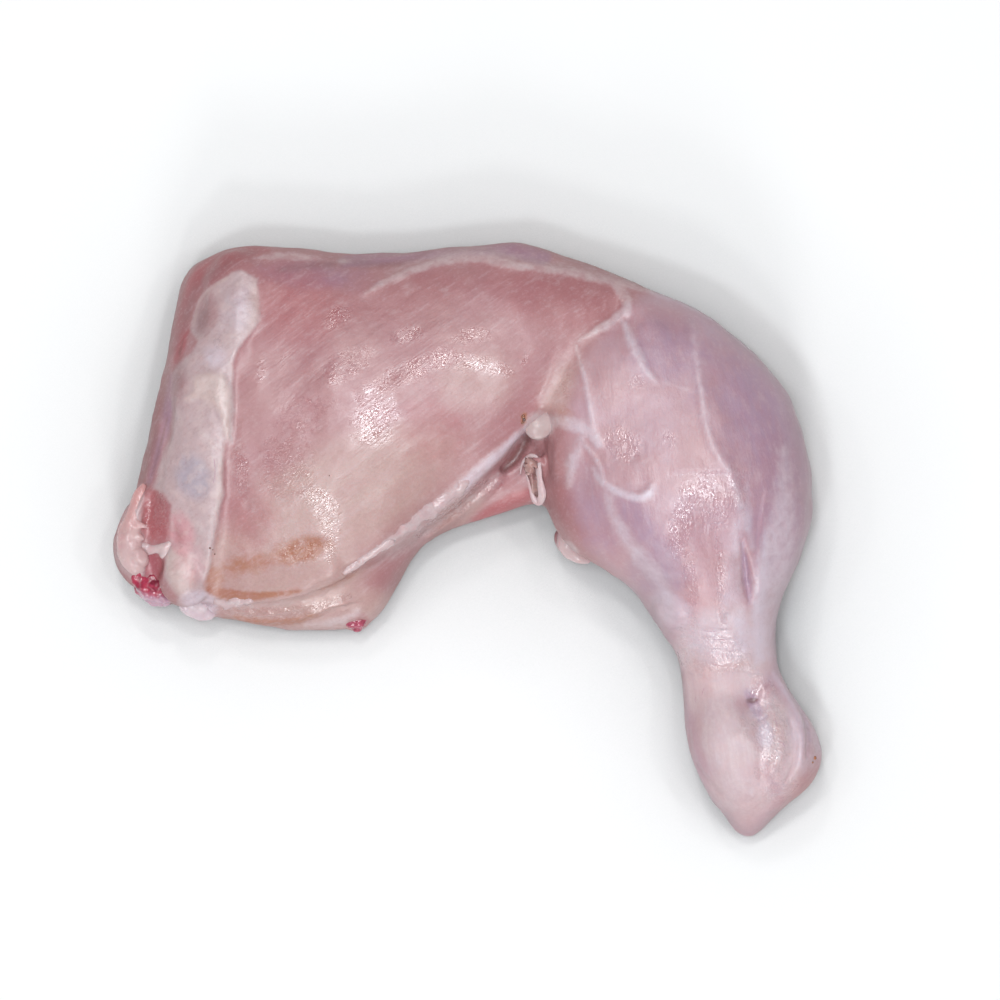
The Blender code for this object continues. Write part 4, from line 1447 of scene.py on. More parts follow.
@dataclass(frozen=True)
class BloodFinish:
    """Wet clotted blood or a bare red nub of muscle, paler where its points' depth is small."""

    name: str
    bright: tuple
    deep: tuple
    roughness: float = 0.14
    slot: Slot = Slot.CLOT
    pale: tuple = colour(0.54, 0.33, 0.42)
    pale_cover: float = 0.95
    patches: Cloud = Cloud(420.0, 4.0, 0.6, 0.5)
    ragged: float = 3.0
    grain: tuple = (500.0, 1.5)
    relief: float = 0.0003
    uneven_roughness: float = 0.15
    scatter: float = 0.15
    scatter_reach: float = 0.001
    coat: float = 0.5
    coat_roughness: float = 0.06

    def material(self, effects: EffectGroups) -> bpy.types.Material:
        """Builds the material.

        Args:
            effects: The shared node groups.

        Returns:
            The finished material.
        """
        made = Finish(self.name)
        wire, place = made.wire, made.place
        patches = wire.noise(place, self.patches)
        base = wire.mix(wire.spread(patches, 0.38, 0.62), self.deep, self.bright)
        torn = wire.times(patches, self.ragged, wire.attribute("depth"))
        thin = wire.spread(torn, 2.0, 5.0, self.pale_cover, 0.0)
        high = self.roughness + self.uneven_roughness
        made.show(wire.mix(thin, base, self.pale), wire.spread(patches, 0.3, 0.7, self.roughness, high))
        scale, length = self.grain
        grain = wire.group(effects.grain, Vector=place, Scale=scale, Length=length).outputs[0]
        made.emboss(grain, 0.5, self.relief)
        return made.settle(
            Subsurface_Weight=self.scatter,
            Subsurface_Scale=self.scatter_reach,
            Coat_Weight=self.coat,
            Coat_Roughness=self.coat_roughness,
        )


WHITE_FAT = FatFinish()
ROLL_FAT = FatFinish(
    "roll_fat",
    white=colour(0.63, 0.45, 0.45),
    second=colour(0.58, 0.385, 0.39),
    edge=colour(0.64, 0.30, 0.29),
    edge_width=13.0,
    roughness=0.3,
)
LILAC_FAT = FatFinish(
    "lilac_fat",
    white=colour(0.70, 0.575, 0.615),
    second=colour(0.63, 0.49, 0.54),
    blush=colour(0.68, 0.45, 0.5),
)
KNEE_GRISTLE = FatFinish(
    "knee_gristle",
    white=colour(0.52, 0.395, 0.39),
    second=colour(0.49, 0.36, 0.36),
    blush=colour(0.50, 0.35, 0.36),
    roughness=0.36,
)
PALE_FASCIA = FatFinish(
    "pale_fascia",
    white=colour(0.65, 0.51, 0.52),
    second=colour(0.60, 0.43, 0.45),
    edge=colour(0.56, 0.37, 0.38),
    edge_width=1.4,
)
BROWN_MEMBRANE = FatFinish(
    "brown_membrane",
    white=colour(0.42, 0.24, 0.22),
    second=colour(0.36, 0.19, 0.18),
    edge=colour(0.5, 0.33, 0.31),
)
WET_CLOT = BloodFinish("wet_clot", colour(0.42, 0.035, 0.08), colour(0.20, 0.012, 0.035))
RED_MUSCLE = BloodFinish("red_muscle", colour(0.46, 0.09, 0.15), colour(0.28, 0.04, 0.07))
VESSEL_RED = BloodFinish("vessel_red", colour(0.52, 0.23, 0.21), colour(0.46, 0.18, 0.17), 0.3)
DRY_SPECK = BloodFinish("dry_speck", colour(0.42, 0.15, 0.05), colour(0.14, 0.07, 0.06), 0.35)


# Mesh work


def new_object(name: str, data: bpy.types.ID) -> bpy.types.Object:
    """An object at the origin with a mesh, a curve or a light, joined to the scene."""
    made = bpy.data.objects.new(name, data)
    bpy.context.scene.collection.objects.link(made)
    return made


def drawn_object(name: str, mesh: bmesh.types.BMesh) -> bpy.types.Object:
    """An object at the origin with the mesh that was drawn, which is freed."""
    data = bpy.data.meshes.new(name)
    mesh.to_mesh(data)
    mesh.free()
    return new_object(name, data)


def applied(piece: bpy.types.Object) -> bpy.types.Object:
    """The piece with its modifiers worked into a plain mesh."""
    view = bpy.context.evaluated_depsgraph_get()
    data = bpy.data.meshes.new_from_object(piece.evaluated_get(view))
    name = piece.name
    bpy.data.objects.remove(piece)
    return new_object(name, data)


def melted(piece: bpy.types.Object, voxel: float, smoothing: int) -> bpy.types.Object:
    """The piece as one even skin of faces a voxel wide, in millimetres, smoothed so many times."""
    remesh = piece.modifiers.new("even", "REMESH")
    remesh.mode = "VOXEL"
    remesh.voxel_size = voxel * MM
    soften = piece.modifiers.new("soften", "SMOOTH")
    soften.factor = 0.5
    soften.iterations = smoothing
    return applied(piece)


def read_points(data: bpy.types.Mesh) -> np.ndarray:
    """The mesh's points in millimetres."""
    points = np.zeros(len(data.vertices) * 3)
    data.vertices.foreach_get("co", points)
    return points.reshape(-1, 3) / MM


def write_points(data: bpy.types.Mesh, points: np.ndarray) -> None:
    """Moves the mesh's points to places in millimetres."""
    data.vertices.foreach_set("co", (points * MM).ravel())
    data.update()


def read_normals(data: bpy.types.Mesh) -> np.ndarray:
    """The mesh's normals at its points."""
    normals = np.zeros(len(data.vertices) * 3)
    data.vertex_normals.foreach_get("vector", normals)
    return normals.reshape(-1, 3)


def store(data: bpy.types.Mesh, name: str, values) -> None:
    """Stores a number for each point, or one for all, for the materials to read."""
    made = data.attributes.new(name, "FLOAT", "POINT")
    made.data.foreach_set("value", np.broadcast_to(values, len(data.vertices)).astype(np.float32))


def finish_piece(piece: bpy.types.Object, finish: bpy.types.Material) -> None:
    """Dresses a piece and makes it ride on the leg.

    Args:
        piece: The finished mesh.
        finish: Its material.
    """
    piece.data.materials.clear()
    piece.data.materials.append(finish)
    piece.data.shade_smooth()
    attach(piece, BODY)
    triangles = sum(len(face.vertices) - 2 for face in piece.data.polygons)
    LOG.info("%s: %d triangles", piece.name, triangles)


@dataclass
class Flesh:
    """The muscle of the whole leg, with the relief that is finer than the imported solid's."""

    name: str = "leg_flesh"
    voxel: float = 0.62
    smoothing: int = 14
    swell: float = 0.28
    ripple: float = 0.045
    fibre_relief: float = 0.04
    fibre_ways: tuple = (38.0, 98.0)
    bundles: float = 0.6
    edge_shade_reach: float = 5.0
    edge_grid: float = 1.0

    def build(self) -> bpy.types.Object:
        """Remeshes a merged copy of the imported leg, shapes it and marks its zones.

        Returns:
            The flesh, undressed.
        """
        shell = bmesh.new()
        shell.from_mesh(frame["nodes"][NODE].data)
        bmesh.ops.remove_doubles(shell, verts=shell.verts, dist=0.01 * MM)
        piece = melted(drawn_object(self.name, shell), self.voxel, self.smoothing)
        self.shape(piece.data)
        self.mark(piece.data)
        return piece

    def shape(self, data: bpy.types.Mesh) -> None:
        """Moves the points along their normals by the fine relief."""
        points, normals = read_points(data), read_normals(data)
        plan = points[:, :2]
        upward = ease(normals[:, 2] / 0.4)
        rise = np.zeros(len(points))
        for form in RELIEF:
            rise += form.rise * form.cover(plan)
        for ledge in LEDGES:
            rise += ledge.lift(plan)
        for line in ANKLE_CREASES:
            crease = Stroke(tuple((x, y, CREASE_HALF_WIDTH) for x, y in line))
            rise += CREASE_DEPTH * np.exp(np.minimum(crease.depth(plan), 0.0) / CREASE_FADE)
        lumps = 0.16 * noise(points, 2.6, 17) + 0.2 * noise(points, 5.0, 18)
        rise += strongest(LUMPY, plan) * lumps
        rise *= upward
        # Bundles of muscle that run along the walls
        drawn = points * (0.3, 0.3, 1.0)
        rise += self.bundles * (1 - upward) * ease(points[:, 2] / 5.0) * noise(drawn, 6.0, 51, 3)
        rise += self.swell * noise(points, 9.0, 3) + self.ripple * noise(points, 2.6, 7)
        rise += self.fibre_relief * self.fibres(points)
        points += normals * rise[:, None]
        points[:, 2] = np.maximum(points[:, 2], 0.0)
        write_points(data, points)

    def fibres(self, points: np.ndarray) -> np.ndarray:
        """Ridges along the muscle: across the thigh, and down the calf."""
        ridges = []
        for way in self.fibre_ways:
            along, across = turned(points, way)
            drawn = np.column_stack([along / 9.0, across, points[:, 2] / 2.0])
            ridges.append(noise(drawn, 1.5, 21))
        on_calf = ease((points[:, 0] - 14.0) / 14.0)
        return ridges[0] * (1 - on_calf) + ridges[1] * on_calf

    def inset(self, plan: np.ndarray) -> np.ndarray:
        """How far in from the leg's outline, seen from above, the plan positions are."""
        cells = np.round(plan / self.edge_grid).astype(int)
        low = cells.min(axis=0) - 1
        filled = np.zeros(cells.max(axis=0) - low + 2, bool)
        filled[tuple((cells - low).T)] = True
        core = filled.copy()
        for axis in (0, 1):
            core &= np.roll(filled, 1, axis) & np.roll(filled, -1, axis)
        rim = (np.argwhere(filled & ~core) + low) * self.edge_grid
        near = KDTree(len(rim))
        for index, (x, y) in enumerate(rim):
            near.insert((x, y, 0.0), index)
        near.balance()
        return np.array([near.find((x, y, 0.0))[2] for x, y in plan])

    def mark(self, data: bpy.types.Mesh) -> None:
        """Stores each zone's weight on the points, and the painted shade on the leg's thin edge and steep
        walls. The underside has only clouds of fascia and a little red, for nothing of it shows, and no
        painted shade."""
        points, normals = read_points(data), read_normals(data)
        plan = points[:, :2]
        under = ease((-normals[:, 2] - 0.1) / 0.4)
        hidden = {
            Zone.FASCIA: 0.45 + 0.35 * noise(points, 11.0, 41, 3),
            Zone.RED: 0.35 + 0.4 * noise(points, 14.0, 43, 3),
            Zone.CALF: strongest(ZONES[Zone.CALF], plan),
        }
        for zone, forms in ZONES.items():
            shown = strongest(forms, plan) * (1 - under)
            store(data, zone.value, shown + hidden.get(zone, 0.0) * under)
        # Painted shade: edge darkens the flesh near the outline seen from above, and wall darkens the steep
        # walls, with little along the lower seam and in the knee's crook; both are left out underneath and
        # in the spared edge areas
        edge = np.exp(-self.inset(plan) / self.edge_shade_reach)
        steep = ease((0.72 - normals[:, 2]) / 0.65)
        shade_shown = (1 - under) * (1 - strongest(SHADE_SPARED_EDGES, plan))
        seam = ease(Stroke(SEAM_BELOW).depth(plan) / 6.0 + 1.0)
        inner = 0.85 * np.maximum(seam, KNEE_CROOK.cover(plan)) * (1 - edge)
        store(data, "wall", steep * (1 - inner) * shade_shown)
        store(data, "edge", edge * shade_shown)


class Skin:
    """Finds the flesh's surface under a place that is seen from above."""

    ABOVE = 0.2

    def __init__(self, flesh: bpy.types.Object) -> None:
        """Builds the search tree over the flesh."""
        view = bpy.context.evaluated_depsgraph_get()
        self.tree = BVHTree.FromObject(flesh, view)

    def top(self, plan: np.ndarray) -> tuple[np.ndarray, np.ndarray, np.ndarray]:
        """Looks down at the flesh.

        Args:
            plan: Plan positions in millimetres.

        Returns:
            Places in millimetres, normals, and which of the positions have flesh below them.
        """
        places, normals = np.zeros((len(plan), 3)), np.zeros((len(plan), 3))
        found = np.zeros(len(plan), bool)
        down = Vector((0, 0, -1))
        for index, (x, y) in enumerate(plan):
            hit, normal, _, _ = self.tree.ray_cast(Vector((x * MM, y * MM, self.ABOVE)), down)
            if hit is not None:
                places[index] = np.array(hit) / MM
                normals[index] = normal
                found[index] = True
        return places, normals, found

    def height(self, x: float, y: float) -> float:
        """The height of the flesh's top over a place, in millimetres."""
        return float(self.top(np.array([[x, y]]))[0][0, 2])


@dataclass
class Sheet:
    """A thin layer of fat or fascia that lies on the flesh and ends in a torn edge.

    Its forms are strokes or outlines. tear and lumps are how far the edge and the top stray.
    """

    name: str
    forms: tuple
    thickness: float
    rim: float = 0.9
    tear: float = 0.35
    tear_size: float = 1.6
    lumps: float = 0.15
    lump_size: float = 2.2
    step: float = 0.42
    seed: int = 1
    roundness: float = 0.5

    # How far the edge and the underside are sunk in the flesh
    SUNK = 0.5
    WALL = 0.7
    # How far round its forms a sheet is looked for, in millimetres and in steps
    MARGIN = 2.0
    FRINGE = 2.2
    # A face that drops by more steps than this bridges a cliff, and is left out
    CLIFF = 8.0

    def depth(self, plan: np.ndarray) -> np.ndarray:
        """Distance inside the torn edge at the plan positions."""
        deep = np.max([form.depth(plan) for form in self.forms], axis=0)
        flat = np.column_stack([plan, np.zeros(len(plan))])
        return deep + self.tear * noise(flat, self.tear_size, self.seed, 3)

    def build(self, skin: Skin) -> bpy.types.Object:
        """Lays the sheet over the flesh.

        Args:
            skin: The flesh's surface.

        Returns:
            The sheet as a closed mesh, with its depth stored.
        """
        spots = np.vstack([form.spots() for form in self.forms])
        low, high = spots.min(axis=0) - self.MARGIN, spots.max(axis=0) + self.MARGIN
        across = np.arange(low[0], high[0], self.step)
        along = np.arange(low[1], high[1], self.step)
        plan = np.stack(np.meshgrid(across, along), -1).reshape(-1, 2)
        deep = self.depth(plan)
        near = deep > -self.FRINGE * self.step
        where = np.full(len(plan), -1)
        where[near] = np.arange(near.sum())
        plan, deep = plan[near], deep[near]
        places, normals, found = skin.top(plan)
        flat = np.column_stack([plan, np.zeros(len(plan))])
        full = ease(deep / self.rim) ** self.roundness
        lumps = self.lumps * noise(flat, self.lump_size, self.seed + 5) * full
        sunk = np.where(deep < 0, self.SUNK * ease(-deep / self.step), 0.0)
        points = places + normals * (self.thickness * full + lumps - sunk)[:, None]
        piece = self.closed(points, normals, where.reshape(len(along), len(across)), found)
        store(piece.data, "depth", self.depth(read_points(piece.data)[:, :2]))
        return piece

    def closed(
        self, points: np.ndarray, normals: np.ndarray, grid: np.ndarray, found: np.ndarray
    ) -> bpy.types.Object:
        """The sheet's top, its underside sunk in the flesh, and the wall between them.

        Args:
            points: The top's points.
            normals: The flesh's normals there.
            grid: The number of the point at each place of the grid, or -1.
            found: Which points have flesh below them.

        Returns:
            One closed piece.
        """
        quads = np.stack([grid[:-1, :-1], grid[:-1, 1:], grid[1:, 1:], grid[1:, :-1]], -1).reshape(-1, 4)
        quads = quads[(quads >= 0).all(axis=1)]
        quads = quads[found[quads].all(axis=1)]
        drop = np.ptp(points[quads][:, :, 2], axis=1)
        quads = quads[drop < self.CLIFF * self.step]
        mesh = bmesh.new()
        top = [mesh.verts.new(point * MM) for point in points]
        bottom = [mesh.verts.new(point * MM) for point in points - normals * self.WALL]
        for quad in quads:
            mesh.faces.new([top[corner] for corner in quad])
            mesh.faces.new([bottom[corner] for corner in quad[::-1]])
        mesh.verts.index_update()
        for edge in [edge for edge in mesh.edges if edge.is_boundary]:
            corners = list(edge.link_faces[0].verts)
            start, end = [corner for corner in corners if corner in edge.verts]
            if corners[(corners.index(start) + 1) % len(corners)] is not end:
                start, end = end, start
            if start.index < len(points):
                mesh.faces.new([end, start, bottom[start.index], bottom[end.index]])
        loose = [corner for corner in mesh.verts if not corner.link_faces]
        bmesh.ops.delete(mesh, geom=loose, context="VERTS")
        return drawn_object(self.name, mesh)


@dataclass
class Lobes:
    """A lump of fat or clot: many soft balls melted into one skin.

    balls are x, y, z and radius. A z of None puts the ball's middle on the flesh. flat is how high
    the balls are for their width. inward is a place on the lump's outer side, and the way in from
    there, where the depth that its finish reads is counted from.
    """

    name: str
    balls: tuple
    voxel: float = 0.3
    smoothing: int = 4
    rough: float = 0.12
    rough_size: float = 1.4
    seed: int = 1
    flat: float = 1.0
    inward: tuple = ()

    # How far every lump keeps off the floor
    CLEARANCE = 0.05

    def build(self, skin: Skin) -> bpy.types.Object:
        """Melts the balls together.

        Args:
            skin: The flesh's surface.

        Returns:
            The lump as a closed mesh.
        """
        mesh = bmesh.new()
        for x, y, z, radius in self.balls:
            height = skin.height(x, y) if z is None else z
            ball = bmesh.ops.create_icosphere(mesh, subdivisions=3, radius=radius * MM)["verts"]
            bmesh.ops.scale(mesh, vec=(1, 1, self.flat), verts=ball)
            bmesh.ops.translate(mesh, vec=Vector((x, y, height)) * MM, verts=ball)
        piece = melted(drawn_object(self.name, mesh), self.voxel, self.smoothing)
        points, normals = read_points(piece.data), read_normals(piece.data)
        points += normals * (self.rough * noise(points, self.rough_size, self.seed))[:, None]
        points[:, 2] = np.maximum(points[:, 2], self.CLEARANCE)
        write_points(piece.data, points)
        depth = DEEP_INSIDE
        if self.inward:
            x, y, way_x, way_y = self.inward
            depth = (points[:, :2] - (x, y)) @ np.array((way_x, way_y))
        store(piece.data, "depth", depth)
        return piece


@dataclass
class MembraneCurl:
    """The loose loop of membrane that hangs in the hollow behind the knee.

    knots are x, y, height over the flesh, half width, half thickness and lean in degrees. hang is
    the lowest and the highest place that the loop takes for the flesh under it.
    """

    name: str
    knots: tuple
    hang: tuple = (15.6, 17.6)
    sides: int = 14
    steps: int = 90
    ripple: float = 0.18

    def build(self, skin: Skin) -> bpy.types.Object:
        """Sweeps a flat oval along the loop.

        Args:
            skin: The flesh's surface.

        Returns:
            The loop as a closed mesh.
        """
        knots = np.array(self.knots)
        knots[:, 2] += np.clip([skin.height(x, y) for x, y in knots[:, :2]], *self.hang)
        route = smooth_curve(knots, self.steps)
        centre = route[:, :3]
        ahead = np.gradient(centre, axis=0)
        ahead /= np.linalg.norm(ahead, axis=1)[:, None]
        side = np.cross(ahead, [0.0, 0.0, 1.0])
        side /= np.linalg.norm(side, axis=1)[:, None]
        up = np.cross(side, ahead)
        lean = np.radians(route[:, 5])[:, None]
        wide = (side * np.cos(lean) + up * np.sin(lean)) * route[:, 3:4]
        wide *= 1 + self.ripple * noise(centre, 1.6, 4)[:, None]
        thick = (up * np.cos(lean) - side * np.sin(lean)) * route[:, 4:5]
        turn = np.linspace(0, 2 * np.pi, self.sides, endpoint=False)[None, :, None]
        rings = centre[:, None] + wide[:, None] * np.cos(turn) + thick[:, None] * np.sin(turn)
        mesh = bmesh.new()
        corners = [[mesh.verts.new(point * MM) for point in ring] for ring in rings]
        for near, far in zip(corners[:-1], corners[1:]):
            for step in range(self.sides):
                after = (step + 1) % self.sides
                mesh.faces.new([near[step], near[after], far[after], far[step]])
        mesh.faces.new(corners[0][::-1])
        mesh.faces.new(corners[-1])
        bmesh.ops.recalc_face_normals(mesh, faces=mesh.faces[:])
        piece = drawn_object(self.name, mesh)
        store(piece.data, "depth", DEEP_INSIDE)
        return piece


# Geometry nodes


class GeometryTree:
    """Builds a Geometry Nodes tree with named inputs and runs it on a piece."""

    def __init__(self, name: str, inputs: dict) -> None:
        """Starts the tree.

        Args:
            name: The tree's name.
            inputs: The kind of socket of each input besides the geometry.
        """
        self.tree = bpy.data.node_groups.new(name, "GeometryNodeTree")
        face = self.tree.interface
        for way in ("INPUT", "OUTPUT"):
            face.new_socket("Geometry", in_out=way, socket_type="NodeSocketGeometry")
        self.ids = {}
        for title, kind in inputs.items():
            socket = face.new_socket(title, in_out="INPUT", socket_type=f"NodeSocket{kind}")
            self.ids[title] = socket.identifier
        self.wire = Wiring(self.tree)
        self.given = self.wire.add("NodeGroupInput").outputs
        self.result = self.wire.add("NodeGroupOutput").inputs

    def vector(self, operation: str, inputs: dict) -> Socket:
        """The result of a sum on vectors."""
        return self.wire.add("ShaderNodeVectorMath", inputs, operation=operation).outputs[0]

    def end(self, geometry: Socket) -> None:
        """Realizes the instances, sets the finish and closes the tree."""
        smooth = self.wire.add("GeometryNodeSetShadeSmooth", {0: geometry})
        real = self.wire.add("GeometryNodeRealizeInstances", {0: smooth.outputs[0]})
        inputs = {"Geometry": real.outputs[0], "Material": self.given["Finish"]}
        dressed = self.wire.add("GeometryNodeSetMaterial", inputs)
        self.wire.put(self.result[0], dressed.outputs[0])

    def run(self, piece: bpy.types.Object, **values) -> bpy.types.Object:
        """Runs the tree on a piece.

        Args:
            piece: The object that carries the modifier.
            **values: A value for each input, with _ for a space.

        Returns:
            The result as a plain mesh.
        """
        modifier = piece.modifiers.new("grow", "NODES")
        modifier.node_group = self.tree
        for title, value in values.items():
            modifier[self.ids[title.replace("_", " ")]] = value
        piece.update_tag()
        bpy.context.view_layer.update()
        return applied(piece)


def thread_tree() -> GeometryTree:
    """A tree that lays every spline on the flesh as a thin cord with a slight waver."""
    lengths = ("Thickness", "Rise", "Waver", "Waver Size", "Step")
    inputs = {"Flesh": "Object", "Finish": "Material", **{title: "Float" for title in lengths}}
    grow = GeometryTree("threads on flesh", inputs)
    wire, given = grow.wire, grow.given

    # Each spline gets even steps, which stray a little
    inputs = {"Curve": given["Geometry"], "Length": given["Step"]}
    even = wire.add("GeometryNodeResampleCurve", inputs, mode="LENGTH").outputs[0]
    place = wire.add("GeometryNodeInputPosition").outputs[0]
    scale = wire.math("DIVIDE", 1.0, given["Waver Size"])
    drift = wire.add("ShaderNodeTexNoise", {"Vector": place, "Scale": scale, "Detail": 2.0})
    centred = grow.vector("SUBTRACT", {0: drift.outputs["Color"], 1: (0.5, 0.5, 0.5)})
    moved = grow.vector("SCALE", {0: centred, "Scale": given["Waver"]})
    wavy = wire.add("GeometryNodeSetPosition", {"Geometry": even, "Offset": moved}).outputs[0]

    # The steps drop onto the flesh
    flesh = wire.add("GeometryNodeObjectInfo", {"Object": given["Flesh"]}).outputs["Geometry"]
    spot = wire.add("ShaderNodeSeparateXYZ", {0: place}).outputs
    above = wire.add("ShaderNodeCombineXYZ", {0: spot[0], 1: spot[1], 2: Skin.ABOVE}).outputs[0]
    inputs = {"Target Geometry": flesh, "Source Position": above}
    inputs |= {"Ray Direction": (0, 0, -1), "Ray Length": 1.0}
    cast = wire.add("GeometryNodeRaycast", inputs).outputs
    lift = grow.vector("SCALE", {0: cast["Hit Normal"], "Scale": given["Rise"]})
    landed = grow.vector("ADD", {0: cast["Hit Position"], 1: lift})
    inputs = {"Geometry": wavy, "Position": landed, "Selection": cast["Is Hit"]}
    laid = wire.add("GeometryNodeSetPosition", inputs).outputs[0]

    ring = wire.add("GeometryNodeCurvePrimitiveCircle", {"Resolution": 6, "Radius": given["Thickness"]})
    inputs = {"Curve": laid, "Profile Curve": ring.outputs["Curve"], "Fill Caps": True}
    grow.end(wire.add("GeometryNodeCurveToMesh", inputs).outputs[0])
    return grow


@dataclass
class Threads:
    """Thin cords that follow lines on the flesh.

    Each row of a line is x, y and its share of the full thickness. depth is what the finish reads.
    """

    name: str
    lines: tuple
    thickness: float
    rise: float
    waver: float = 0.5
    waver_size: float = 3.0
    step: float = 0.5
    depth: float = 0.9

    STEPS_A_KNOT = 6
    THINNEST = 0.05

    def build(self, flesh: bpy.types.Object, finish: bpy.types.Material) -> bpy.types.Object:
        """Draws the lines and grows them into cords.

        Args:
            flesh: What they lie on.
            finish: Their material.

        Returns:
            The cords as one mesh.
        """
        path = bpy.data.curves.new(self.name, "CURVE")
        path.dimensions = "3D"
        for line in self.lines:
            route = smooth_curve(line, self.STEPS_A_KNOT * len(line))
            spline = path.splines.new("POLY")
            spline.points.add(len(route) - 1)
            for knot, (x, y, share) in zip(spline.points, route):
                knot.co = (x * MM, y * MM, Skin.ABOVE / 2, 1.0)
                knot.radius = max(share, self.THINNEST)
        piece = thread_tree().run(
            new_object(self.name, path),
            Flesh=flesh,
            Finish=finish,
            Thickness=self.thickness * MM,
            Rise=self.rise * MM,
            Waver=self.waver * MM,
            Waver_Size=self.waver_size * MM,
            Step=self.step * MM,
        )
        store(piece.data, "depth", self.depth)
        return piece


# The pieces on the flesh


def strand(*knots: tuple, balls_a_gap: int = 5) -> tuple:
    """Balls along a smooth route through x, y, z and radius, near enough to melt into one roll."""
    rows = smooth_curve(knots, balls_a_gap * (len(knots) - 1) + 1)
    return tuple(tuple(row) for row in rows)


CURL_KNOTS = (
    (12.7, 15.8, 1.6, 0.2, 0.18, 20.0),
    (12.9, 17.6, 2.4, 0.3, 0.2, 30.0),
    (13.7, 19.3, 3.0, 0.45, 0.24, 30.0),
    (15.3, 20.2, 3.4, 0.6, 0.26, 10.0),
    (16.7, 19.3, 3.2, 0.75, 0.3, -10.0),
    (17.1, 16.6, 2.8, 0.8, 0.34, -20.0),
    (17.6, 13.2, 2.4, 0.85, 0.38, -20.0),
    (18.0, 10.6, 2.0, 0.95, 0.45, -10.0),
    (17.2, 9.0, 1.6, 1.0, 0.5, 0.0),
    (16.0, 9.7, 1.5, 0.75, 0.4, 10.0),
    (15.2, 11.6, 1.6, 0.42, 0.3, 20.0),
    (14.7, 13.8, 1.8, 0.3, 0.24, 20.0),
    (14.0, 16.2, 2.2, 0.24, 0.2, 20.0),
    (13.6, 18.2, 2.6, 0.2, 0.18, 10.0),
)
CURL_INSIDE = (
    (13.6, 18.8), (15.2, 19.8), (16.8, 18.8), (17.0, 15.0), (17.4, 11.8), (16.8, 9.8),
    (15.7, 10.6), (14.9, 13.8), (14.0, 16.6),
)  # fmt: skip
FLAP_SCRAP = ((-61.8, -15.6, 1.0), (-58.6, -15.9, 1.3), (-55.4, -15.8, 1.1), (-53.0, -15.3, 0.4))

# The smooth finger at the hip that swells into the broad lobe, then its three small fingers
HIP_ROLL = (
    strand(
        (-79.6, 12.6, 15.9, 1.0),
        (-80.4, 10.4, 15.9, 1.7),
        (-81.3, 7.0, 15.6, 1.9),
        (-82.2, 3.6, 15.2, 2.6),
        (-82.8, 0.0, 15.0, 3.4),
        (-82.6, -3.2, 14.7, 3.5),
        (-81.8, -6.0, 14.5, 2.9),
        (-81.0, -8.2, 14.0, 1.9),
    )
    + strand((-81.4, 3.6, 16.6, 1.3), (-80.2, 3.2, 17.2, 0.8), (-78.9, 2.9, 17.3, 0.4))
    + strand((-81.6, 0.2, 16.6, 1.5), (-80.4, 0.3, 17.2, 1.0), (-79.7, 0.0, 17.2, 0.7))
    + strand((-82.0, -3.4, 16.2, 2.2), (-80.6, -4.4, 16.6, 2.2), (-79.8, -5.4, 16.0, 1.7))
)
HIP_BRIDGE = strand(
    (-80.0, -2.4, 15.4, 1.8),
    (-78.2, -2.6, 15.5, 1.5),
    (-76.2, -2.4, 16.3, 1.4),
    (-73.6, -2.6, 17.6, 1.9),
) + strand((-73.8, -3.4, 17.6, 1.9), (-72.6, -1.4, 17.9, 1.2))
KNEE_KNOB = ((17.0, 27.4, None, 3.5), (18.0, 28.0, None, 3.2), (19.6, 28.0, None, 2.2))
CALF_FAT = strand(
    (23.2, 1.0, 9.6, 1.5),
    (23.8, -1.0, 9.6, 2.2),
    (25.0, -2.8, 9.2, 2.3),
    (27.0, -4.2, 9.0, 2.0),
    (29.0, -5.2, 8.6, 1.2),
)
FAT_FOOT = strand(
    (-69.8, -15.2, 15.4, 1.5),
    (-68.4, -16.8, 12.8, 2.1),
    (-66.0, -17.9, 11.2, 2.2),
    (-63.4, -18.6, 10.6, 1.5),
) + strand((-67.6, -15.8, 14.4, 1.6), (-65.2, -16.6, 12.8, 1.6))
HIP_CLOT = (
    strand(
        (-81.4, -8.6, 14.4, 1.4),
        (-80.0, -10.8, 13.4, 2.2),
        (-78.2, -12.4, 12.2, 2.6),
        (-75.8, -13.4, 11.6, 2.5),
        (-73.2, -14.2, 11.6, 1.5),
    )
    + strand((-77.6, -10.2, 13.4, 1.9), (-75.6, -11.4, 13.8, 1.9), (-73.6, -12.8, 13.2, 1.2))
    + strand((-80.0, -12.4, 9.8, 2.0), (-77.2, -14.2, 8.6, 2.3), (-74.4, -14.9, 8.8, 1.8))
)
RED_NUB = (
    (-28.8, -20.4, 8.8, 1.7),
    (-26.9, -20.3, 8.8, 1.9),
    (-25.6, -18.9, 9.0, 1.4),
    (-27.4, -21.6, 7.8, 1.5),
)
DARK_SPECKS = (
    (-62.9, -2.3, None, 0.3),
    (-62.3, -2.7, None, 0.22),
    (-61.8, -3.8, None, 0.25),
    (-33.7, 15.3, None, 0.18),
    (84.6, -53.6, None, 0.5),
    (84.0, -54.6, None, 0.35),
    (13.3, 29.7, None, 0.5),
    (13.5, 28.9, None, 0.5),
    (13.2, 28.2, None, 0.4),
)

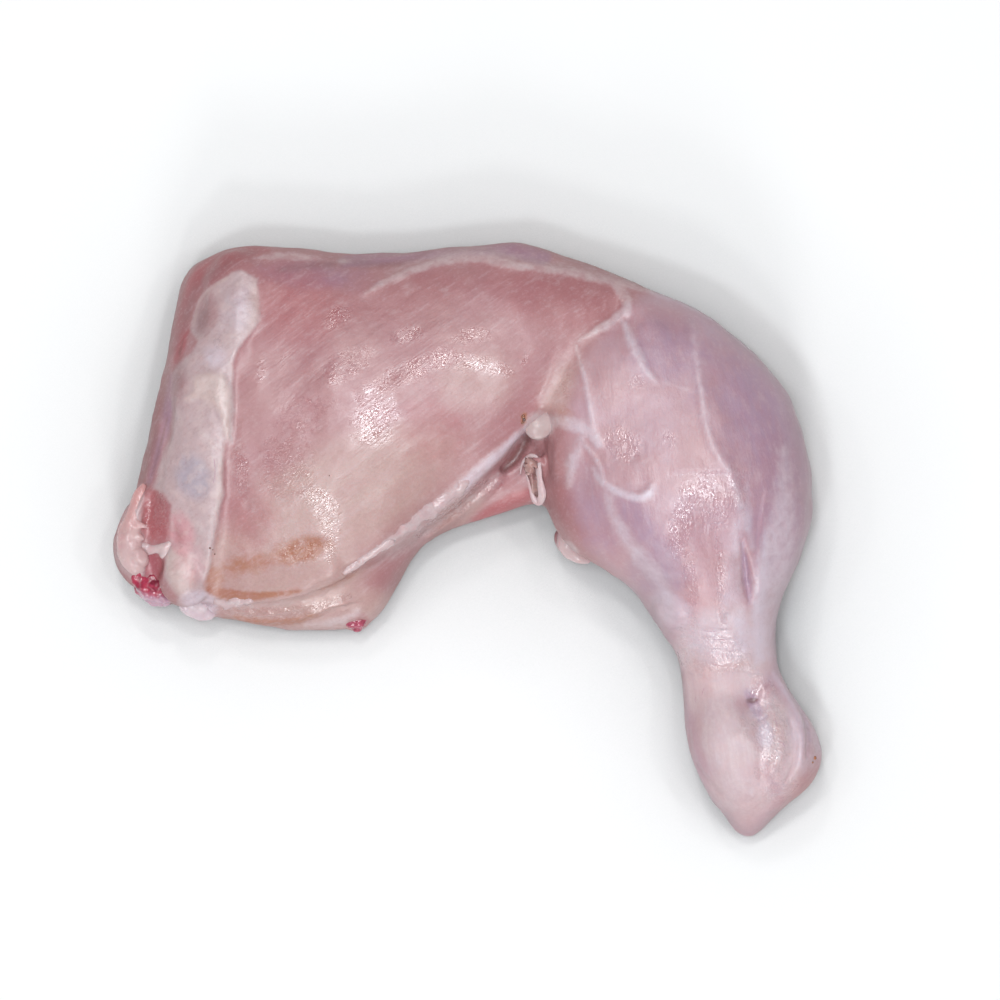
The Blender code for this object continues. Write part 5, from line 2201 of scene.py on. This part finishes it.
# Each piece with its finish, its numbers in the order of its class
PIECES = (
    (Sheet("seam_fat_rod", (Stroke(SEAM_ROD),), 0.7, 0.8, 0.3, 1.4, 0.14, 1.4, 0.3, 11), WHITE_FAT),
    (
        Sheet("lower_seam_fascia", (Stroke(SEAM_BELOW[:5]),), 0.22, 1.4, 0.9, 2.2, 0.14, 1.8, 0.36, 12, 0.9),
        PALE_FASCIA,
    ),
    (Sheet("flap_scrap", (Stroke(FLAP_SCRAP),), 0.3, 1.2, 0.6, 2.0, 0.14, 1.6, 0.34, 16, 0.8), PALE_FASCIA),
    (Lobes("hip_roll", HIP_ROLL, 0.24, 8, 0.2, 2.4, 31, 1.0, (-84.0, 11.0, 0.55, -0.83)), ROLL_FAT),
    (Lobes("hip_bridge", HIP_BRIDGE, 0.24, 8, 0.22, 2.0, 32, 0.8), WHITE_FAT),
    (Lobes("knee_knob", KNEE_KNOB, 0.3, 12, 0.08, 2.2, 33, 0.42), KNEE_GRISTLE),
    (Lobes("calf_fat", CALF_FAT, 0.34, 10, 0.1, 2.4, 34, 0.85), WHITE_FAT),
    (Lobes("fat_foot", FAT_FOOT, 0.3, 8, 0.2, 1.8, 35, 0.85), LILAC_FAT),
    (Lobes("hip_clot", HIP_CLOT, 0.26, 8, 0.34, 1.5, 36, 1.0, (-77.0, -16.0, 0.2, 0.98)), WET_CLOT),
    (Lobes("red_nub", RED_NUB, 0.3, 7, 0.14, 1.8, 37), RED_MUSCLE),
    (Lobes("dark_specks", DARK_SPECKS, 0.1, 2, 0.06, 0.6, 38, 0.6), DRY_SPECK),
    (MembraneCurl("membrane_curl", CURL_KNOTS), PALE_FASCIA),
    (
        Sheet("membrane_curl_inner", (Outline(CURL_INSIDE),), 1.6, 0.8, 0.1, 1.0, 0.1, 1.0, 0.3, 41, 0.8),
        BROWN_MEMBRANE,
    ),
)
VESSELS = Threads(
    "fine_vessels",
    (
        ((57.6, -36.6, 0.4), (57.2, -37.4, 1.2), (57.0, -38.2, 0.5)),
        ((55.6, -38.8, 0.5), (55.4, -39.4, 1.3), (55.6, -40.0, 0.4)),
        ((57.2, -22.4, 0.3), (59.0, -22.6, 0.8), (60.4, -22.6, 0.3)),
        ((59.6, -24.6, 0.3), (61.4, -24.7, 0.9), (63.0, -24.6, 0.3)),
        ((74.4, -44.0, 0.4), (75.2, -45.0, 0.9), (75.2, -46.4, 0.5)),
        ((75.6, -49.5, 0.4), (76.6, -49.9, 1.0), (77.2, -50.8, 0.4)),
        ((-61.8, 19.6, 0.3), (-61.6, 16.0, 0.8), (-61.9, 13.4, 0.4)),
    ),
    thickness=0.085,
    rise=-0.02,
)


@dataclass
class Studio:
    """The floor, the lights and the camera that looks straight down."""

    camera_height: float = 1.8
    camera_place: tuple = (7.7, 9.4)
    picture_width: float = 245.0
    flesh_height: float = 12.0
    sensor: float = 36.0
    far: float = 20.0
    sky: float = 0.23
    lamp_distance: float = 2.1
    # Each lamp's direction from the leg, its width, its share of the light and its colour
    lamps: tuple = (
        ("top", (-0.03, 0.03, 1.0), 0.36, 0.22, (0.9, 0.96, 1.0)),
        ("front_edge", (-0.06, 0.35, 0.94), 0.26, 0.12, (1.0, 0.99, 0.98)),
        ("front_low", (-0.14, 0.62, 0.77), 0.2, 0.07, (1.0, 0.99, 0.98)),
        ("hip", (-0.28, 0.2, 0.94), 0.2, 0.07, (1.0, 0.99, 0.98)),
        ("hip_low", (-0.2, -0.34, 0.92), 0.3, 0.15, (0.93, 0.97, 1.0)),
        ("west", (-0.54, 0.1, 0.84), 0.16, 0.03, (1.0, 1.0, 1.0)),
        ("east", (0.54, 0.02, 0.84), 0.18, 0.05, (1.0, 1.0, 1.0)),
        ("shin", (0.24, 0.08, 0.96), 0.16, 0.05, (1.0, 1.0, 1.0)),
        ("hock", (0.33, 0.42, 0.85), 0.18, 0.04, (1.0, 1.0, 1.0)),
        ("calf_low", (0.02, -0.7, 0.7), 0.3, 0.1, (0.96, 0.98, 1.0)),
        ("low", (0.06, -0.87, 0.42), 0.5, 0.2, (1.0, 1.0, 1.0)),
    )
    floor_half: float = 4.0
    floor_drop: float = 0.05
    floor_tone: tuple = colour(0.93, 0.93, 0.93)
    # The painted shadow round the leg: its grey tone, its reach in metres and its samples
    painted_shadow_tone: tuple = colour(0.47, 0.49, 0.49)
    painted_shadow_reach: float = 0.045
    painted_shadow_samples: int = 4

    def build(self) -> None:
        """Builds the whole studio."""
        self.floor()
        self.sky_light()
        for name, direction, width, share, tone in self.lamps:
            self.lamp(name, direction, width, share, tone)
        self.camera()

    def floor(self) -> None:
        """A pale floor with a painted shadow that darkens it softly round the leg, seen only from above."""
        mesh = bmesh.new()
        bmesh.ops.create_grid(mesh, x_segments=1, y_segments=1, size=self.floor_half)
        plane = drawn_object("floor", mesh)
        plane.location.z = -self.floor_drop * MM
        tone = Finish("pale_floor")
        wire, ends = tone.wire, tone.made.node_tree.nodes["Material Output"].inputs
        # Painted shadow: ambient occlusion darkens the floor's colour toward a grey tone near the leg
        shade = wire.add("ShaderNodeAmbientOcclusion", {"Distance": self.painted_shadow_reach}, samples=self.painted_shadow_samples)
        shade = wire.spread(shade.outputs["AO"], 0.25, 1.0)
        tone.show(wire.mix(shade, self.painted_shadow_tone, self.floor_tone), 0.8)
        behind = wire.add("ShaderNodeNewGeometry").outputs["Backfacing"]
        clear = wire.add("ShaderNodeBsdfTransparent").outputs[0]
        shown = wire.add("ShaderNodeMixShader", {0: behind, 1: tone.shader.outputs[0], 2: clear})
        wire.put(ends["Surface"], shown.outputs[0])
        plane.data.materials.append(tone.settle(Specular_IOR_Level=0.1))

    def sky_light(self) -> None:
        """An even pale sky, and plain colours in the picture."""
        world = bpy.data.worlds.new("studio_sky")
        world.use_nodes = True
        sky = world.node_tree.nodes["Background"]
        sky.inputs["Color"].default_value = colour(1.0, 1.0, 1.0)
        sky.inputs["Strength"].default_value = self.sky
        bpy.context.scene.world = world
        bpy.context.scene.view_settings.view_transform = "Standard"

    def lamp(self, name: str, direction: tuple, width: float, share: float, tone: tuple) -> None:
        """A round soft box that faces the leg.

        Args:
            name: Its name.
            direction: Where it stands, seen from the leg.
            width: Its width in metres.
            share: The light that it throws on the leg, where 1 is what whitens a white sheet.
            tone: Its colour.
        """
        data = bpy.data.lights.new(name, "AREA")
        data.shape = "DISK"
        data.size = width
        data.energy = share * np.pi**2 * self.lamp_distance**2
        data.color = tone
        made = new_object(name, data)
        made.location = Vector(direction).normalized() * self.lamp_distance
        made.rotation_euler = (-made.location).to_track_quat("-Z", "Y").to_euler()

    def camera(self) -> None:
        """The camera straight above the picture's middle."""
        data = bpy.data.cameras.new("camera")
        data.sensor_width = self.sensor
        data.lens = self.sensor * (self.camera_height / MM - self.flesh_height) / self.picture_width
        data.clip_end = self.far
        made = new_object("camera", data)
        x, y = self.camera_place
        made.location = (x * MM, y * MM, self.camera_height)
        bpy.context.scene.camera = made


def main() -> None:
    """Builds the studio, the leg and the pieces on it."""
    logging.basicConfig(level=logging.INFO, format="%(name)s %(message)s")
    Studio().build()
    effects = EffectGroups()
    muscle = FleshFinish()
    finishes = (muscle, *(finish for _, finish in PIECES), VESSEL_RED)
    materials = {finish: finish.material(effects) for finish in dict.fromkeys(finishes)}

    flesh = Flesh().build()
    skin = Skin(flesh)
    dressed = [(flesh, muscle)]
    dressed += [(piece.build(skin), finish) for piece, finish in PIECES]
    dressed.append((VESSELS.build(flesh, materials[VESSEL_RED]), VESSEL_RED))
    for piece, finish in dressed:
        finish_piece(piece, materials[finish])
    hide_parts(NODE)


if __name__ == "__main__":
    main()
